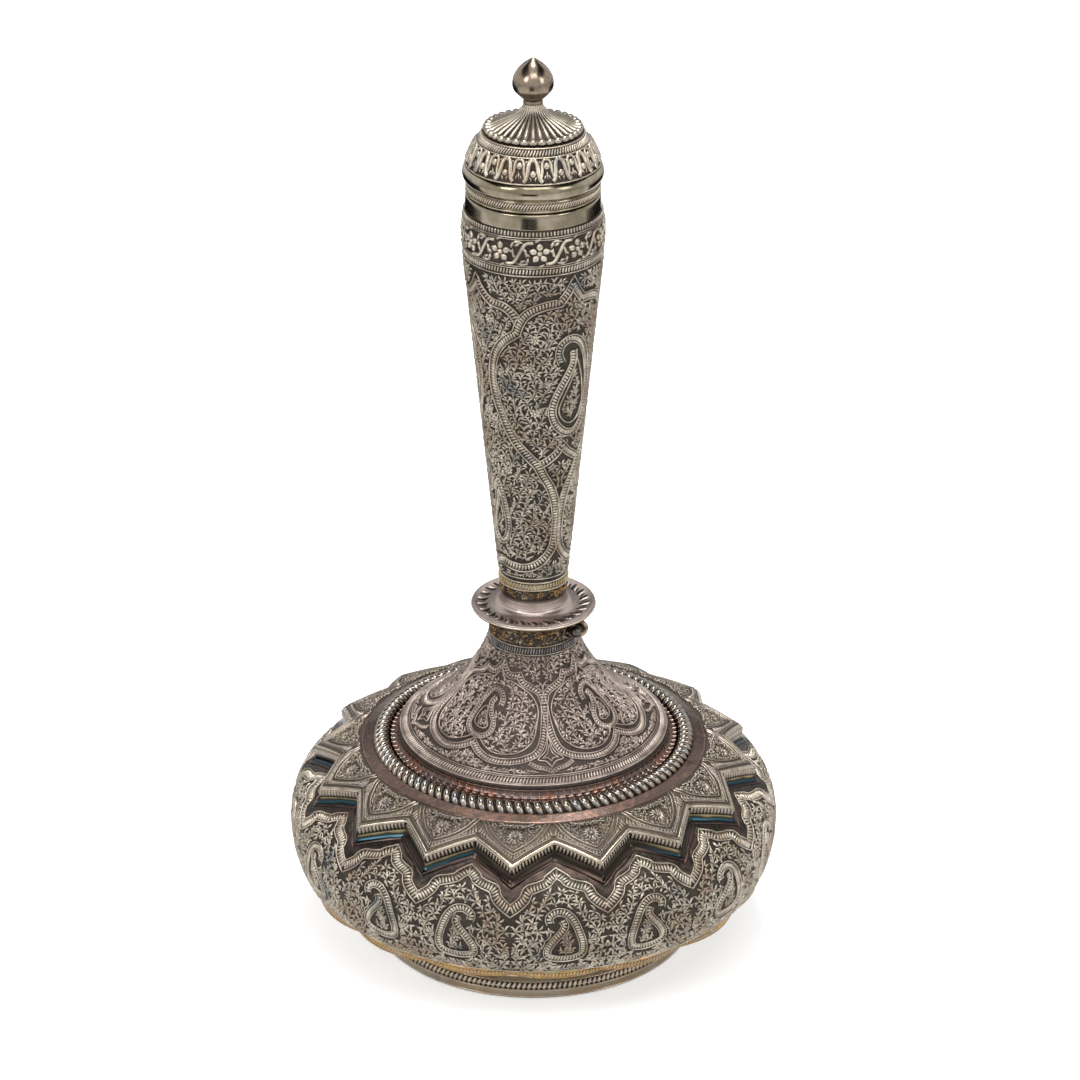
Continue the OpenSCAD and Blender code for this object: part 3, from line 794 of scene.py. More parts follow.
SECTIONS = {}
for name, node, finish, body, slot in (
        ("foot_skin", "foot_ring", PALE_GILT, "vessel", "gilt"),
        ("bowl_skin", "bowl_wall", GROUND, "vessel", "silver"),
        ("copper_skin", "copper_band", COPPER, "vessel", "copper"),
        ("bell_skin", "bell", BELL_GROUND, "vessel", "silver"),
        ("flange_skin", "flange", FLANGE_TONE, "vessel", "bright_silver"),
        ("socket_skin", "neck_socket", socket_tone(), "vessel", "dark_silver"),
        ("neck_ring_skin", "neck_base_ring", POLISHED, "neck", "silver"),
        ("neck_skin", "neck_tube", GROUND, "neck", "silver"),
        ("mouth_skin", "mouth_ring", POLISHED, "neck", "bright_silver"),
        ("skirt_skin", "cap_skirt", POLISHED, "cap", "dark_silver"),
        ("bead_skin", "cap_bead", POLISHED, "cap", "bright_silver"),
        ("dome_skin", "cap_dome", GROUND, "cap", "silver"),
        ("bud_skin", "finial_bud", BUD_TONE, "cap", "bright_silver")):
    SECTIONS[node] = bud_outline() if node == "finial_bud" else node_rings(node)
    turned(name, softened(SECTIONS[node]), finish, slot, node, body)


def side_of(node, low=0, high=999, body="vessel"):
    return Side(outer_side(SECTIONS[node], low, high), body=body)


LEDGE_Z = z_of("copper_band", False)
STAR_HIGH = z_of("star_plate") - LEDGE_Z
RING_Z = LEDGE_Z + STAR_HIGH
FOOT = side_of("foot_ring")
BOWL = side_of("bowl_wall", 0, LEDGE_Z)
BELL = side_of("bell")
NECK = side_of("neck_tube", body="neck")
DOME = side_of("cap_dome", body="cap")


# Placed work

def around(az, points, s=0.0, scale=1.0):
    """Points set out from an azimuth and an arc length"""
    return [(az + a, s + scale * q) for a, q in points]


def mirrored(points, az):
    return [(2 * az - a, s) for a, s in points]


def hatching(name, side, low, high, count, slant, fill, height, finish, slot="silver"):
    """Ring of slanted strokes between two arc lengths"""
    stroke = Relief(side)
    pitch = 2 * math.pi * float(side.radius((low + high) / 2)) / count
    lean = math.degrees(slant / float(side.radius(low)))
    t = np.linspace(0, 1, 4)
    path = np.column_stack([lean * t**1.6, low + (high - low) * t])
    stroke.sweep(path, pitch * fill / 2 * np.array([0.7, 1, 1, 0.7]), height, PILLOW)
    raised(name, stroke, count, finish, slot)


def hoops(name, side, rows, finish, slot="silver", section=ROUND):
    """Raised lines round a side: arc length, width, height"""
    lines = Relief(side)
    for s, width, height in rows:
        lines.hoop(s, width, height, section)
    raised(name, lines, 1, finish, slot)


def groove(name, side, low, high, slot):
    """Dark bed under a ring of strokes"""
    hoops(name, side, [((low + high) / 2, high - low, 0.07)], GROUND, slot, FLAT)


# Foot and lobes

hatching("foot_beads", FOOT, FOOT.at_z(2.95), FOOT.at_z(5.0), 200, 0.8, 0.8, 0.4, PALE_WORK, "gilt")
groove("foot_groove", FOOT, FOOT.at_z(2.85), FOOT.at_z(5.05), "gilt")
hoops("foot_lines", FOOT, [(FOOT.at_z(0.5), 0.5, 0.15), (FOOT.at_z(2.7), 0.35, 0.25),
                           (FOOT.at_z(5.15), 0.3, 0.2)], PALE_GILT, "gilt")

LOBE_OUT = 70.2
LOBE_CUSP = 68.1
LOBE_HALF = math.radians(HALF_STAR)
LOBE_C = (LOBE_OUT**2 - LOBE_CUSP**2) / (2 * (LOBE_OUT - LOBE_CUSP * math.cos(LOBE_HALF)))


def lobe_in(az):
    """How far the lobed edge lies inside its widest radius, at an azimuth in degrees"""
    a = np.radians((np.asarray(az) - TIP_AZ) % (360 / STAR_N)) - LOBE_HALF
    reach = LOBE_OUT - LOBE_C
    return LOBE_C * np.cos(a) + np.sqrt(reach**2 - (LOBE_C * np.sin(a)) ** 2) - LOBE_OUT


def lobes():
    low, high = z_of("lobe_ring", False), z_of("lobe_ring")
    loop = softened([(66.0, low), (69.5, low), (70.0, low + 0.35), (69.8, low + 0.7), (69.9, high - 0.9),
                     (70.35, high - 0.65), (70.35, high - 0.3), (70.0, high + 0.2), (66.0, high)])

    def ripple(turns, q):
        return q[0] + lobe_in(turns * 360) * (q[0] > 67), np.full(len(turns), q[1])

    turned("lobe_skin", loop, LOBE_TONE, "copper", "lobe_ring", "vessel", 384, ripple)
    side = Side([(69.85, low + 0.6), (69.9, high - 0.8)])
    strokes = Relief(side)
    per = 26
    for k in range(per):
        az = TIP_AZ + 360 / STAR_N * (k + 0.5) / per
        strokes.sweep(np.array([(az - 0.25, 0.0), (az, 0.7), (az + 0.35, side.s[-1])]), 0.31, 0.32, PILLOW)
    raised("lobe_strokes", strokes, STAR_N, GILT_WORK, "gilt", lobe_in)


lobes()


# Bowl: a scalloped strap over paisleys that face each other in pairs

def bowl_work():
    tip, notch = TIP_AZ, TIP_AZ + HALF_STAR
    straps = Relief(BOWL)
    rise = around(tip, [(0, 24.9), (1.5, 26.3), (3.2, 28.4), (4.2, 31.0), (6.6, 32.2), (8.6, 33.4),
                        (9.4, 34.8), (HALF_STAR, 36.6)])
    straps.strap(3.5, rise, mirrored(rise, notch)[::-1], mirrored=True)
    hook = [(3.9, 21.0), (3.6, 22.9), (5.3, 24.5), (7.6, 24.0), (9.4, 21.4), (10.6, 17.4), (11.4, 13.2),
            (11.0, 9.9), (8.7, 8.6), (5.6, 8.6), (3.4, 9.7), (3.3, 12.4), (4.8, 15.7), (6.5, 18.3),
            (7.2, 20.4), (6.6, 22.0)]
    straps.strap(2.5, hook, wire=0.36, gap=0.16, pitch=0.9)
    straps.mirror(tip)
    raised("bowl_straps", straps, STAR_N // 2, CHASED)

    leaves = Relief(BOWL)
    paisley = [(2.4, 20.6), (2.2, 23.2), (4.2, 26.0), (7.6, 26.0), (10.4, 23.4), (12.1, 17.4), (12.9, 11.9),
               (11.9, 8.0), (8.9, 6.9), (4.5, 7.1), (2.1, 9.2), (1.9, 12.5), (3.3, 15.9), (4.9, 18.4),
               (3.9, 19.8)]
    under = around(tip, [(0, 22.2), (2.6, 24.0), (4.8, 27.6), (6.2, 29.8), (9.2, 31.2), (HALF_STAR, 33.8)])
    panel = [(tip, 2.6)] + under + mirrored(under, notch)[::-1] + [(tip + 2 * HALF_STAR, 2.6)]
    leaves.vine(panel, (tip + 0.2, 3.4), 3.3, 3, -0.25, 0.65, 0.06, [paisley], 0.43)
    drop = [(8.2, 19.4), (9.3, 16.5), (10.0, 12.9), (9.5, 10.4), (7.4, 10.0), (5.0, 10.1), (4.8, 12.4),
            (6.4, 15.9)]
    leaves.vine(drop, (7.4, 10.0), 2.4, 5, 0.0, width=0.43)
    rng = random.Random(8)
    per = 26
    for k in range(per):
        az = tip + 2 * HALF_STAR * (k + 0.5) / per
        leaves.leaf(az, 2.9 + rng.uniform(0, 0.6), 65 + rng.uniform(-35, 35), 2.6, 0.75, 0.4, 0.3)
    leaves.mirror(tip)
    raised("bowl_leaves", leaves, STAR_N // 2, CHASED)
    hoops("bowl_foot_lines", BOWL, [(1.0, 0.6, 0.3), (2.2, 0.4, 0.25)], CHASED)


bowl_work()


# Star: its skin, strap, flower and wall strokes

TIP_R = 67.7
NOTCH_R = 59.5
STAR_INNER = 51.9
BAND_EDGE = 52.5


def shoulder_z(r):
    """Height of the bowl's shoulder at a radius"""
    top = int(np.argmax(BOWL.r))
    return np.interp(r, BOWL.r[top:][::-1], BOWL.z[top:][::-1])


def star_edge(t, inset):
    """Radius and azimuth from the tip at t along the star's edge, from 0 at the tip to 1 at the notch"""
    tip = TIP_R - 1.284 * inset
    notch = NOTCH_R - 1.128 * inset
    half = math.radians(HALF_STAR)
    x = tip * (1 - t) + notch * math.cos(half) * t
    y = notch * math.sin(half) * t
    return np.hypot(x, y), np.degrees(np.arctan2(y, x))


def star_skin():
    per = 14
    t = np.concatenate([np.arange(per) / per, 1 - np.arange(per) / per])
    hand = np.repeat([1, -1], per)
    even = HALF_STAR * t
    rows, kinds = [], []

    def add(r, az, z, kind):
        """A row of points, repeated for every point of the star"""
        r, az, z = (np.broadcast_to(v, t.shape) for v in (r, az, z))
        turn = TIP_AZ + np.arange(STAR_N)[:, None] * 360 / STAR_N
        a = np.radians(np.where(hand > 0, turn + az, turn + 360 / STAR_N - az)).ravel()
        rows.append(polar(np.tile(r, STAR_N), a, np.tile(z, STAR_N)))
        kinds.append(kind)

    add(STAR_INNER, even, LEDGE_Z - 1.5, 0)
    add(STAR_INNER, even, shoulder_z(BAND_EDGE) + STAR_HIGH - 0.3, 0)
    r1, a1 = star_edge(t, 1.35)
    for w in (0.05, 0.35, 0.7, 1.0):
        r = BAND_EDGE * (1 - w) + r1 * w
        add(r, even * (1 - w) + a1 * w, shoulder_z(r) + STAR_HIGH, 0)
    for inset, drop in ((1.15, 0.2), (0.8, 0.0), (0.4, -0.06), (0.12, 0.1), (0.0, 0.4)):
        r, a = star_edge(t, inset)
        add(r, a, shoulder_z(r) + STAR_HIGH - drop, 0 if inset > 1 else 1)
    edge, a = star_edge(t, 0)
    edge_z = shoulder_z(edge) + STAR_HIGH
    for out, drop in ((-0.02, 0.62), (0.0, 2.7), (-0.15, 2.85), (-0.12, 3.05), (0.1, 3.8), (0.4, 4.5),
                      (0.8, 5.05), (1.25, 5.5), (1.4, 5.8)):
        add(*star_edge(t, -out), edge_z - drop, 2 if drop < 3 else 3)
    add(edge - 3, a, LEDGE_Z - 9, 3)
    wide = len(t) * STAR_N
    n = len(rows)
    piece = mesh_object("star_skin", np.concatenate(rows), tube_faces(n, wide, True, True), STAR_GROUND)
    for finish in (BEVEL, WALL_TONE, mirror_tarnish()):
        piece.data.materials.append(finish)
    piece.data.polygons.foreach_set("material_index", np.repeat(kinds, wide))
    # down runs from 0 at the top of the wall to 1 at its foot and places the painted reflection bands
    walls = np.array(kinds) == 3
    levels = np.where(walls, (np.cumsum(walls) - 1) / (walls.sum() - 1), 0)
    named_values(piece.data, "down", np.repeat(levels, wide))
    # painted reflection: one face of each point left of the front, and the other face past 30 degrees to the
    # right, take the teal mirror colours
    az = np.degrees(np.arctan2(rows[0][:, 0], -rows[0][:, 1]))
    blue = np.clip((-np.tile(hand, STAR_N) * az - np.where(az < 0, 6, 30)) / 8, 0, 1)
    named_values(piece.data, "painted_reflection_side", np.tile(blue, n))
    settle(piece, "vessel", "bright_silver", "star_plate")


def star_work():
    r = np.linspace(70.5, 52.2, 24)
    side = Side(np.column_stack([r, shoulder_z(r) + STAR_HIGH]), 2)

    def at(points):
        """Azimuth from the tip and radius, as azimuth and arc length"""
        return [(TIP_AZ + a, side.at_r(q)) for a, q in points]

    def edge(inset, count=12):
        r, a = star_edge(np.linspace(0, 1, count), inset)
        return np.array(at(zip(a, r)))

    work = Relief(side)
    arch = [(0, 63.7), (3.3, 61.5), (6.3, 59.1), (8.5, 56.4), (10.0, 54.1), (10.7, 52.8)]
    inner_arch = [(0, 62.5), (2.9, 60.5), (5.5, 58.2), (7.6, 55.7), (9.0, 53.6), (9.5, 52.8)]
    arch_line = work.flow(at(arch), 0.5)
    work.sweep(edge(1.75), 0.17, 0.5, RIDGE, mirrored=True)
    work.sweep(arch_line, 0.18, 0.5, RIDGE, mirrored=True)
    work.sweep(work.flow(at(inner_arch), 0.5), 0.22, 0.55, RIDGE, mirrored=True)
    strokes = 14
    for k in range(strokes):
        t = (k + 0.6) / strokes
        a = edge(2.1, 30)[int(t * 29)]
        b = arch_line[int(min(t * 0.93, 1) * (len(arch_line) - 1))]
        b = a + (b - a) * 0.86
        work.sweep(np.array([a, (a + b) / 2 + (0.12, 0), b]), 0.38, 0.4, PILLOW)
    heart = at([(0, 57.4)])[0]
    for angle, length in ((-90, 3.0), (-64, 2.9), (-38, 2.8), (-12, 2.7), (14, 2.7), (40, 2.6), (66, 2.4)):
        a = math.radians(angle)
        x, y = 0.5 * math.cos(a), 0.5 * math.sin(a)
        work.leaf(heart[0] + x, heart[1] + y, angle, length * 0.86, 0.9, 0.55, 0.12)
    inside = at([(0, 62.1), (2.6, 60.3), (5.2, 58.0), (7.2, 55.6), (8.5, 53.6), (8.9, 52.9), (0, 52.9)])
    petals = at([(0, 60.2), (1.4, 59.7), (2.4, 58.7), (2.8, 57.4), (2.4, 56.0), (1.3, 55.2), (0, 54.9)])
    work.vine(inside, at([(3.2, 54.5)])[0], 1.8, 6, -0.2, 0.4, 0.0, [petals], 0.43)
    work.mirror(TIP_AZ)
    work.button(*heart, 0.7, 0.5)
    raised("star_work", work, STAR_N, STAR_CHASED)


def wall_strokes():
    """Short upright strokes along the star's edge"""
    points, faces, crest = [], [], []
    count = 13
    run = 14.9
    for hand in (-1, 1):
        for k in range(count):
            base = len(points)
            for y, wide in ((0.7, 0.36), (1.1, 0.46), (2.1, 0.46), (2.75, 0.26)):
                for across, out in ((-1, -0.25), (-0.6, 0.3), (0.6, 0.3), (1, -0.25)):
                    t = (k + 0.7) / (count + 0.4) + (across * wide + 0.25 * (y - 1.5)) / run
                    r, a = star_edge(t, -out)
                    z = shoulder_z(star_edge(t, 0)[0]) + STAR_HIGH - y
                    points.append(polar(r, np.radians(TIP_AZ + hand * a), z)[0])
                    # points sunk into the wall take the dark foot colour: oxide and painted recess shade
                    crest.append(float(out > 0))
            faces += [tuple(base + v for v in f) for f in tube_faces(4, 4, inward=hand > 0)]
    repeated("wall_strokes", points, faces, STAR_CHASED, STAR_N, "vessel", "silver", crest)


star_skin()
star_work()
wall_strokes()


def shoulder_floor():
    """Plain burnished floor between the scalloped strap and the star's wall"""
    per, rows = 16, 6
    az = HALF_STAR * np.linspace(0, 1, per + 1)
    lines = Relief(BOWL)
    rise = lines.flow(around(TIP_AZ, [(0, 26.6), (1.5, 28.0), (3.0, 30.1), (4.0, 32.9), (6.6, 34.0),
                                      (8.6, 35.2), (9.4, 36.6), (HALF_STAR, 38.6)]), 0.4)
    low = np.interp(TIP_AZ + az, rise[:, 0], rise[:, 1])
    r, a = star_edge(np.linspace(0, 1, per + 1), -1.2)
    high = np.interp(az, a, [BOWL.at_z(float(shoulder_z(q))) for q in r])
    w = np.linspace(0, 1, rows)
    w = np.append(w, 1 - np.arange(rows) / (rows - 1))
    heights = [0.16, 0.41, 0.16, 0.16, 0.41, 0.16] + [-0.3] * rows
    points = [(TIP_AZ + az[k], low[k] * (1 - part) + high[k] * part, h)
              for k in range(per + 1) for part, h in zip(w, heights)]
    lines.add(np.array(points), tube_faces(per + 1, 2 * rows)[:-2])
    lines.mirror(TIP_AZ)
    raised("shoulder_floor", lines, STAR_N, FLOOR_TONE, "dark_silver")


shoulder_floor()


# Reeds and cove

REED_N = 104
REED_IN = 43.5
REED_OUT = 48.5
REED_CREST = bezier([(REED_OUT + 0.7, RING_Z + 0.1), (REED_OUT + 0.6, RING_Z + 3.4),
                     (REED_IN + 1.7, RING_Z + 5.2), (REED_IN, RING_Z + 2.2)], np.linspace(0, 1, 15))


def rib(line, rise, turn, t=1.0):
    """Places of a rib along a line: rise along its normal, turn round the axis in radians"""
    place = line[:, None] + outward(line, t)[:, None] * rise[..., None]
    return polar(place[..., 0].ravel(), np.broadcast_to(turn, rise.shape).ravel(), place[..., 1].ravel())


def reeds():
    bed = REED_CREST - 0.75 * outward(REED_CREST)
    loop = np.vstack([[(REED_IN, LEDGE_Z), (REED_OUT, LEDGE_Z)], bed])
    turned("reed_bed", loop, REED_SHADE, "dark_silver", "gadroon_ring")
    pitch = 360 / REED_N
    t = np.linspace(0, 1, 15)[:, None]
    half = pitch / 2 * np.interp(t, [0, 0.12, 0.35, 0.6, 0.85, 1], [0.5, 0.85, 0.96, 0.95, 0.86, 0.7])
    swell = np.interp(t, [0, 0.15, 0.4, 0.65, 1], [0.15, 0.75, 1.0, 0.9, 0.35])
    lean = pitch * (0.62 * (1 - t) ** 1.3 - 0.12 * t)
    across, up = np.array([(-1.0, -0.55), (-0.9, 0.35), (-0.45, 0.95), (0.0, 1.0), (0.4, 0.72), (0.7, 0.05),
                           (0.82, -0.7)]).T
    points = rib(REED_CREST, up * swell * 0.8 - 0.72, np.radians(lean + across * half))
    repeated("reeds", points, tube_faces(len(t), len(up), inward=True), REED_SILVER, REED_N, "vessel",
             "bright_silver", turn=0.9)


def cove():
    first = 0.3

    def ripple(turns, q):
        part = (turns * REED_N + first) % 1
        dent = 0.6 * (1 - np.abs(2 * part - 1) ** 2)
        free = float(np.clip((q[1] - RING_Z - 0.9) / 0.8, 0, 1)) * float(np.clip((q[0] - 40.6) / 0.5, 0, 1))
        return q[0] - 0.12 * dent * free, q[1] - 0.2 * dent * free

    turned("cove_skin", softened(node_rings("cove_ring")), COVE, "dark_silver", "cove_ring", "vessel",
           REED_N * 8, ripple)
    line = bezier([(REED_IN + 0.2, RING_Z + 2.6), (42.3, RING_Z + 2.2), (41.2, RING_Z + 2.5),
                   (41.1, RING_Z + 3.9)], np.linspace(0, 1, 8))
    rise = np.tile([-0.3, 0.15, -0.3], (8, 1))
    turn = np.array([-0.14, 0, 0.14]) / (line[:, :1] + outward(line)[:, :1] * rise)
    repeated("cove_ridges", rib(line, rise, turn), tube_faces(8, 3, inward=True), RIDGE_SILVER, REED_N,
             "vessel", "silver", turn=-first * 360 / REED_N)


reeds()
cove()


# Bell: medallions in mirrored pairs

def bell_work():
    axis = 9.0
    far = axis - 90
    on = BELL.on
    straps = Relief(BELL)
    straps.strap(2.3, on([(axis, 84.4), (axis - 1.2, 80.5), (axis - 3.6, 76.3), (0.8, 73.7), (-10, 72.2),
                          (-20.8, 72.0), (-29, 72.9), (-35.6, 74.6)]),
                 on([(-35.6, 74.6), (-42, 72.9), (-50, 72.0), (-60, 72.4), (-70.5, 73.7), (far + 3.6, 76.3),
                     (far + 1.2, 80.5), (far, 84.4)]), wire=0.36, gap=0.16, pitch=0.9)
    straps.strap(2.1, on([(axis, 84.4), (axis - 3.5, 87.4), (-5, 89.2), (-11, 90.1), (-15, 91.8)]),
                 on([(-15, 91.8), (-22, 91.4), (-29, 91.9), (-36, 94.4)]),
                 on([(-36, 94.4), (-43, 91.9), (-50, 91.4), (-57, 91.8)]),
                 on([(-57, 91.8), (-61, 90.1), (-67, 89.2), (far + 3.5, 87.4), (far, 84.4)]),
                 wire=0.34, gap=0.14, pitch=0.9)
    inner = on([(axis - 5.5, 83.8), (axis - 6.6, 79.8), (-1.2, 76), (-9.6, 73.8), (-20.6, 73.4), (-29, 74.6),
                (-35.6, 76.2), (-43, 74.6), (-51, 73.4), (-62, 73.8), (-70.8, 76), (far + 6.6, 79.8),
                (far + 5.5, 83.8), (-70, 86.9), (-60, 88.8), (-50, 89.9), (-43, 90), (-36, 91.9), (-29, 90),
                (-22, 89.9), (-12, 88.8), (-2, 86.9)])
    straps.wire(inner, 0.4, 0.5, True, 0.5)
    paisley = on([(-26.3, 83.4), (-26.4, 85.4), (-31, 87.0), (-38.5, 87.0), (-43.5, 84.2), (-45.8, 80.6),
                  (-45.2, 77.8), (-39.5, 76.2), (-32, 76.1), (-27.6, 77.6), (-28.4, 79.8), (-32.8, 81.6),
                  (-35.0, 83.6), (-32.6, 85.2)])
    straps.strap(1.7, paisley, wire=0.3, gap=0.1, pitch=0.85, step=0.45)
    straps.wire(on([(-37.5, 82.6), (-34.5, 80.2), (-31.5, 78.6), (-33.5, 77.7), (-39, 77.9), (-42.4, 79),
                    (-41.5, 81.6)]), 0.35, 0.45, True, 0.4)
    for centre, hand in ((axis, -1), (far, 1)):
        def half(outline):
            return on([(centre + hand * a, z) for a, z in outline])

        star = half([(0, 77.6), (2.2, 74.5), (6.6, 72.8), (2.4, 72.3), (0, 71.2)])
        straps.sweep(straps.flow(star, 0.4), 0.2, 0.5, mirrored=True)
        star = half([(0, 75.8), (1.4, 73.9), (4.0, 73.0), (1.4, 73.0), (0, 72.4)])
        straps.sweep(straps.flow(star, 0.4), 0.16, 0.5, mirrored=True)
        straps.strap(1.3, half([(11.5, 72.2), (7.5, 71.3), (3, 70.9), (0, 70.3)]), wire=0.25, gap=0.08,
                     pitch=0.8, mirrored=True)
    straps.mirror(axis)
    raised("bell_straps", straps, 2, BELL_CHASED)

    leaves = Relief(BELL)
    hole = on([(-24.5, 83.2), (-24.5, 86), (-30, 88.4), (-39, 88.4), (-45.5, 85), (-48.4, 80.6), (-47.8, 77),
               (-40, 75.1), (-31.5, 75.1), (-25.6, 77), (-26.4, 80.4), (-31, 82)])
    drop = on([(-37.5, 82.4), (-32, 78.9), (-34, 78), (-39, 78.2), (-42, 79.2), (-41.2, 81.4)])
    above = on([(axis, 86.4), (axis - 4.5, 88.7), (-8, 91.0), (-15, 93.4), (-27, 93.3), (-36, 96.2),
                (-45, 93.3), (-57, 93.4), (-64, 91.0), (far + 4.5, 88.7), (far, 86.4), (far, 97.2),
                (axis, 97.2)])
    rim = on([(far, 70.0), (axis, 70.0), (axis, 70.2), (-1, 70.9), (-8, 71.0), (-20, 70.8), (-28, 71.6),
              (-36, 73.3), (-44, 71.6), (-52, 70.8), (-64, 71.2), (-72, 70.9), (far, 70.2)])
    roots = on([(-18, 73.6), (-38, 78), (axis, 87.5), (-36, 70.4)])
    leaves.vine(inner, roots[0], 2.9, 11, -0.4, 0.5, 0.05, [hole])
    leaves.vine(drop, roots[1], 2.0, 4, -0.1, 0.35)
    leaves.vine(above, roots[2], 2.4, 6, -0.2, 0.45)
    leaves.vine(rim, roots[3], 2.0, 9, -0.2, 0.4, width=0.43)
    leaves.mirror(axis)
    raised("bell_leaves", leaves, 2, BELL_CHASED)
    at = BELL.at_z
    hoops("bell_lines", BELL, [(at(68.05), 0.5, 0.35), (at(68.3), 0.3, 0.25), (at(69.75), 0.35, 0.4),
                               (at(69.45), 0.25, 0.3)], BELL_CHASED)
    hatching("bell_hatching", BELL, at(68.42), at(69.3), 250, 0.5, 0.76, 0.3, BELL_CHASED)


bell_work()


# Collar, flange and socket

def scrolls(name, side, low, high, spacing, seed, count, daisies):
    """Band of gilt leaves in six equal panels"""
    band = Relief(side)
    band.vine([(0, low), (60, low), (60, high), (0, high)], (4, low), spacing, seed, -0.3, 0.5, daisies,
              count=count)
    raised(name, band, 6, GILT_DARK, "gilt")


def collar_work():
    low, high = z_of("throat_collar", False), z_of("throat_collar")
    curve = bezier([(13.6, low), (13.0, low + 4.0), (12.3, low + 6.0), (12.1, high)], np.linspace(0, 1, 10))
    turned("throat_skin", softened(np.vstack([[(8.6, low)], curve, [(8.6, high)]])), GROUND, "dark_silver",
           "throat_collar")
    throat = Side(curve)
    at = throat.at_z
    hatching("throat_hatching", throat, 0.2, at(low + 2.1), 102, 0.3, 0.62, 0.35, STEEL_CHASED)
    hoops("throat_lines", throat, [(0.05, 0.4, 0.3), (at(low + 2.5), 0.35, 0.35),
                                   (at(high - 1.6), 0.4, 0.35)], CHASED)
    scrolls("throat_flowers", throat, at(low + 2.9), at(high - 1.9), 2.9, 4, 6, 0.35)

    top = np.array([q for q in SECTIONS["flange"] if q[1] > z_of("flange") - 1.2 and 11.5 < q[0] < 17.6])
    dish = Side(top[np.argsort(-top[:, 0])], 2)
    feather, cut = Relief(dish), Relief(dish)
    feather.leaf(0, 0.15, 122, 3.6, 1.3, 0.35, -0.35, stations=6)
    cut.leaf(4.4, 0.5, 124, 3.7, 1.0, 0.14, -0.35, FLAT, 6)
    cut.leaf(10.0, 1.2, 124, 2.2, 0.6, 0.12, -0.35, FLAT, 5)
    raised("flange_feathers", feather, 26, FEATHER, "bright_silver")
    raised("flange_cuts", cut, 26, FLANGE_CUT, "dark_silver")
    edge = side_of("flange")
    widest = float(edge.s[np.argmax(edge.r)])
    hoops("flange_rim", edge, [(widest + 0.1, 0.9, 0.18)], PALE_GILT, "gilt")
    hoops("flange_under", edge, [(widest - 1.0, 1.2, 0.08)], FLANGE_CUT, "dark_silver")

    socket = side_of("neck_socket", z_of("neck_socket", False) + 0.9)
    end = socket.s[-1]
    scrolls("socket_scrolls", socket, end - 3.9, end - 0.7, 2.4, 8, 5, 0.2)
    hoops("socket_lines", socket, [(end - 0.35, 0.5, 0.35), (socket.s[0] + 0.5, 0.4, 0.3)], CHASED)
    ring = side_of("neck_base_ring", body="neck")
    hatching("neck_ring_hatching", ring, ring.at_z(117.7), ring.at_z(119.1), 62, 0.3, 0.6, 0.35, GILT_WORK)
    hoops("neck_ring_lines", ring, [(ring.at_z(117.25), 0.5, 0.35)], CHASED)


collar_work()


# Neck: two broad panels on each side, their straps mirrored about the axis of the tall paisley

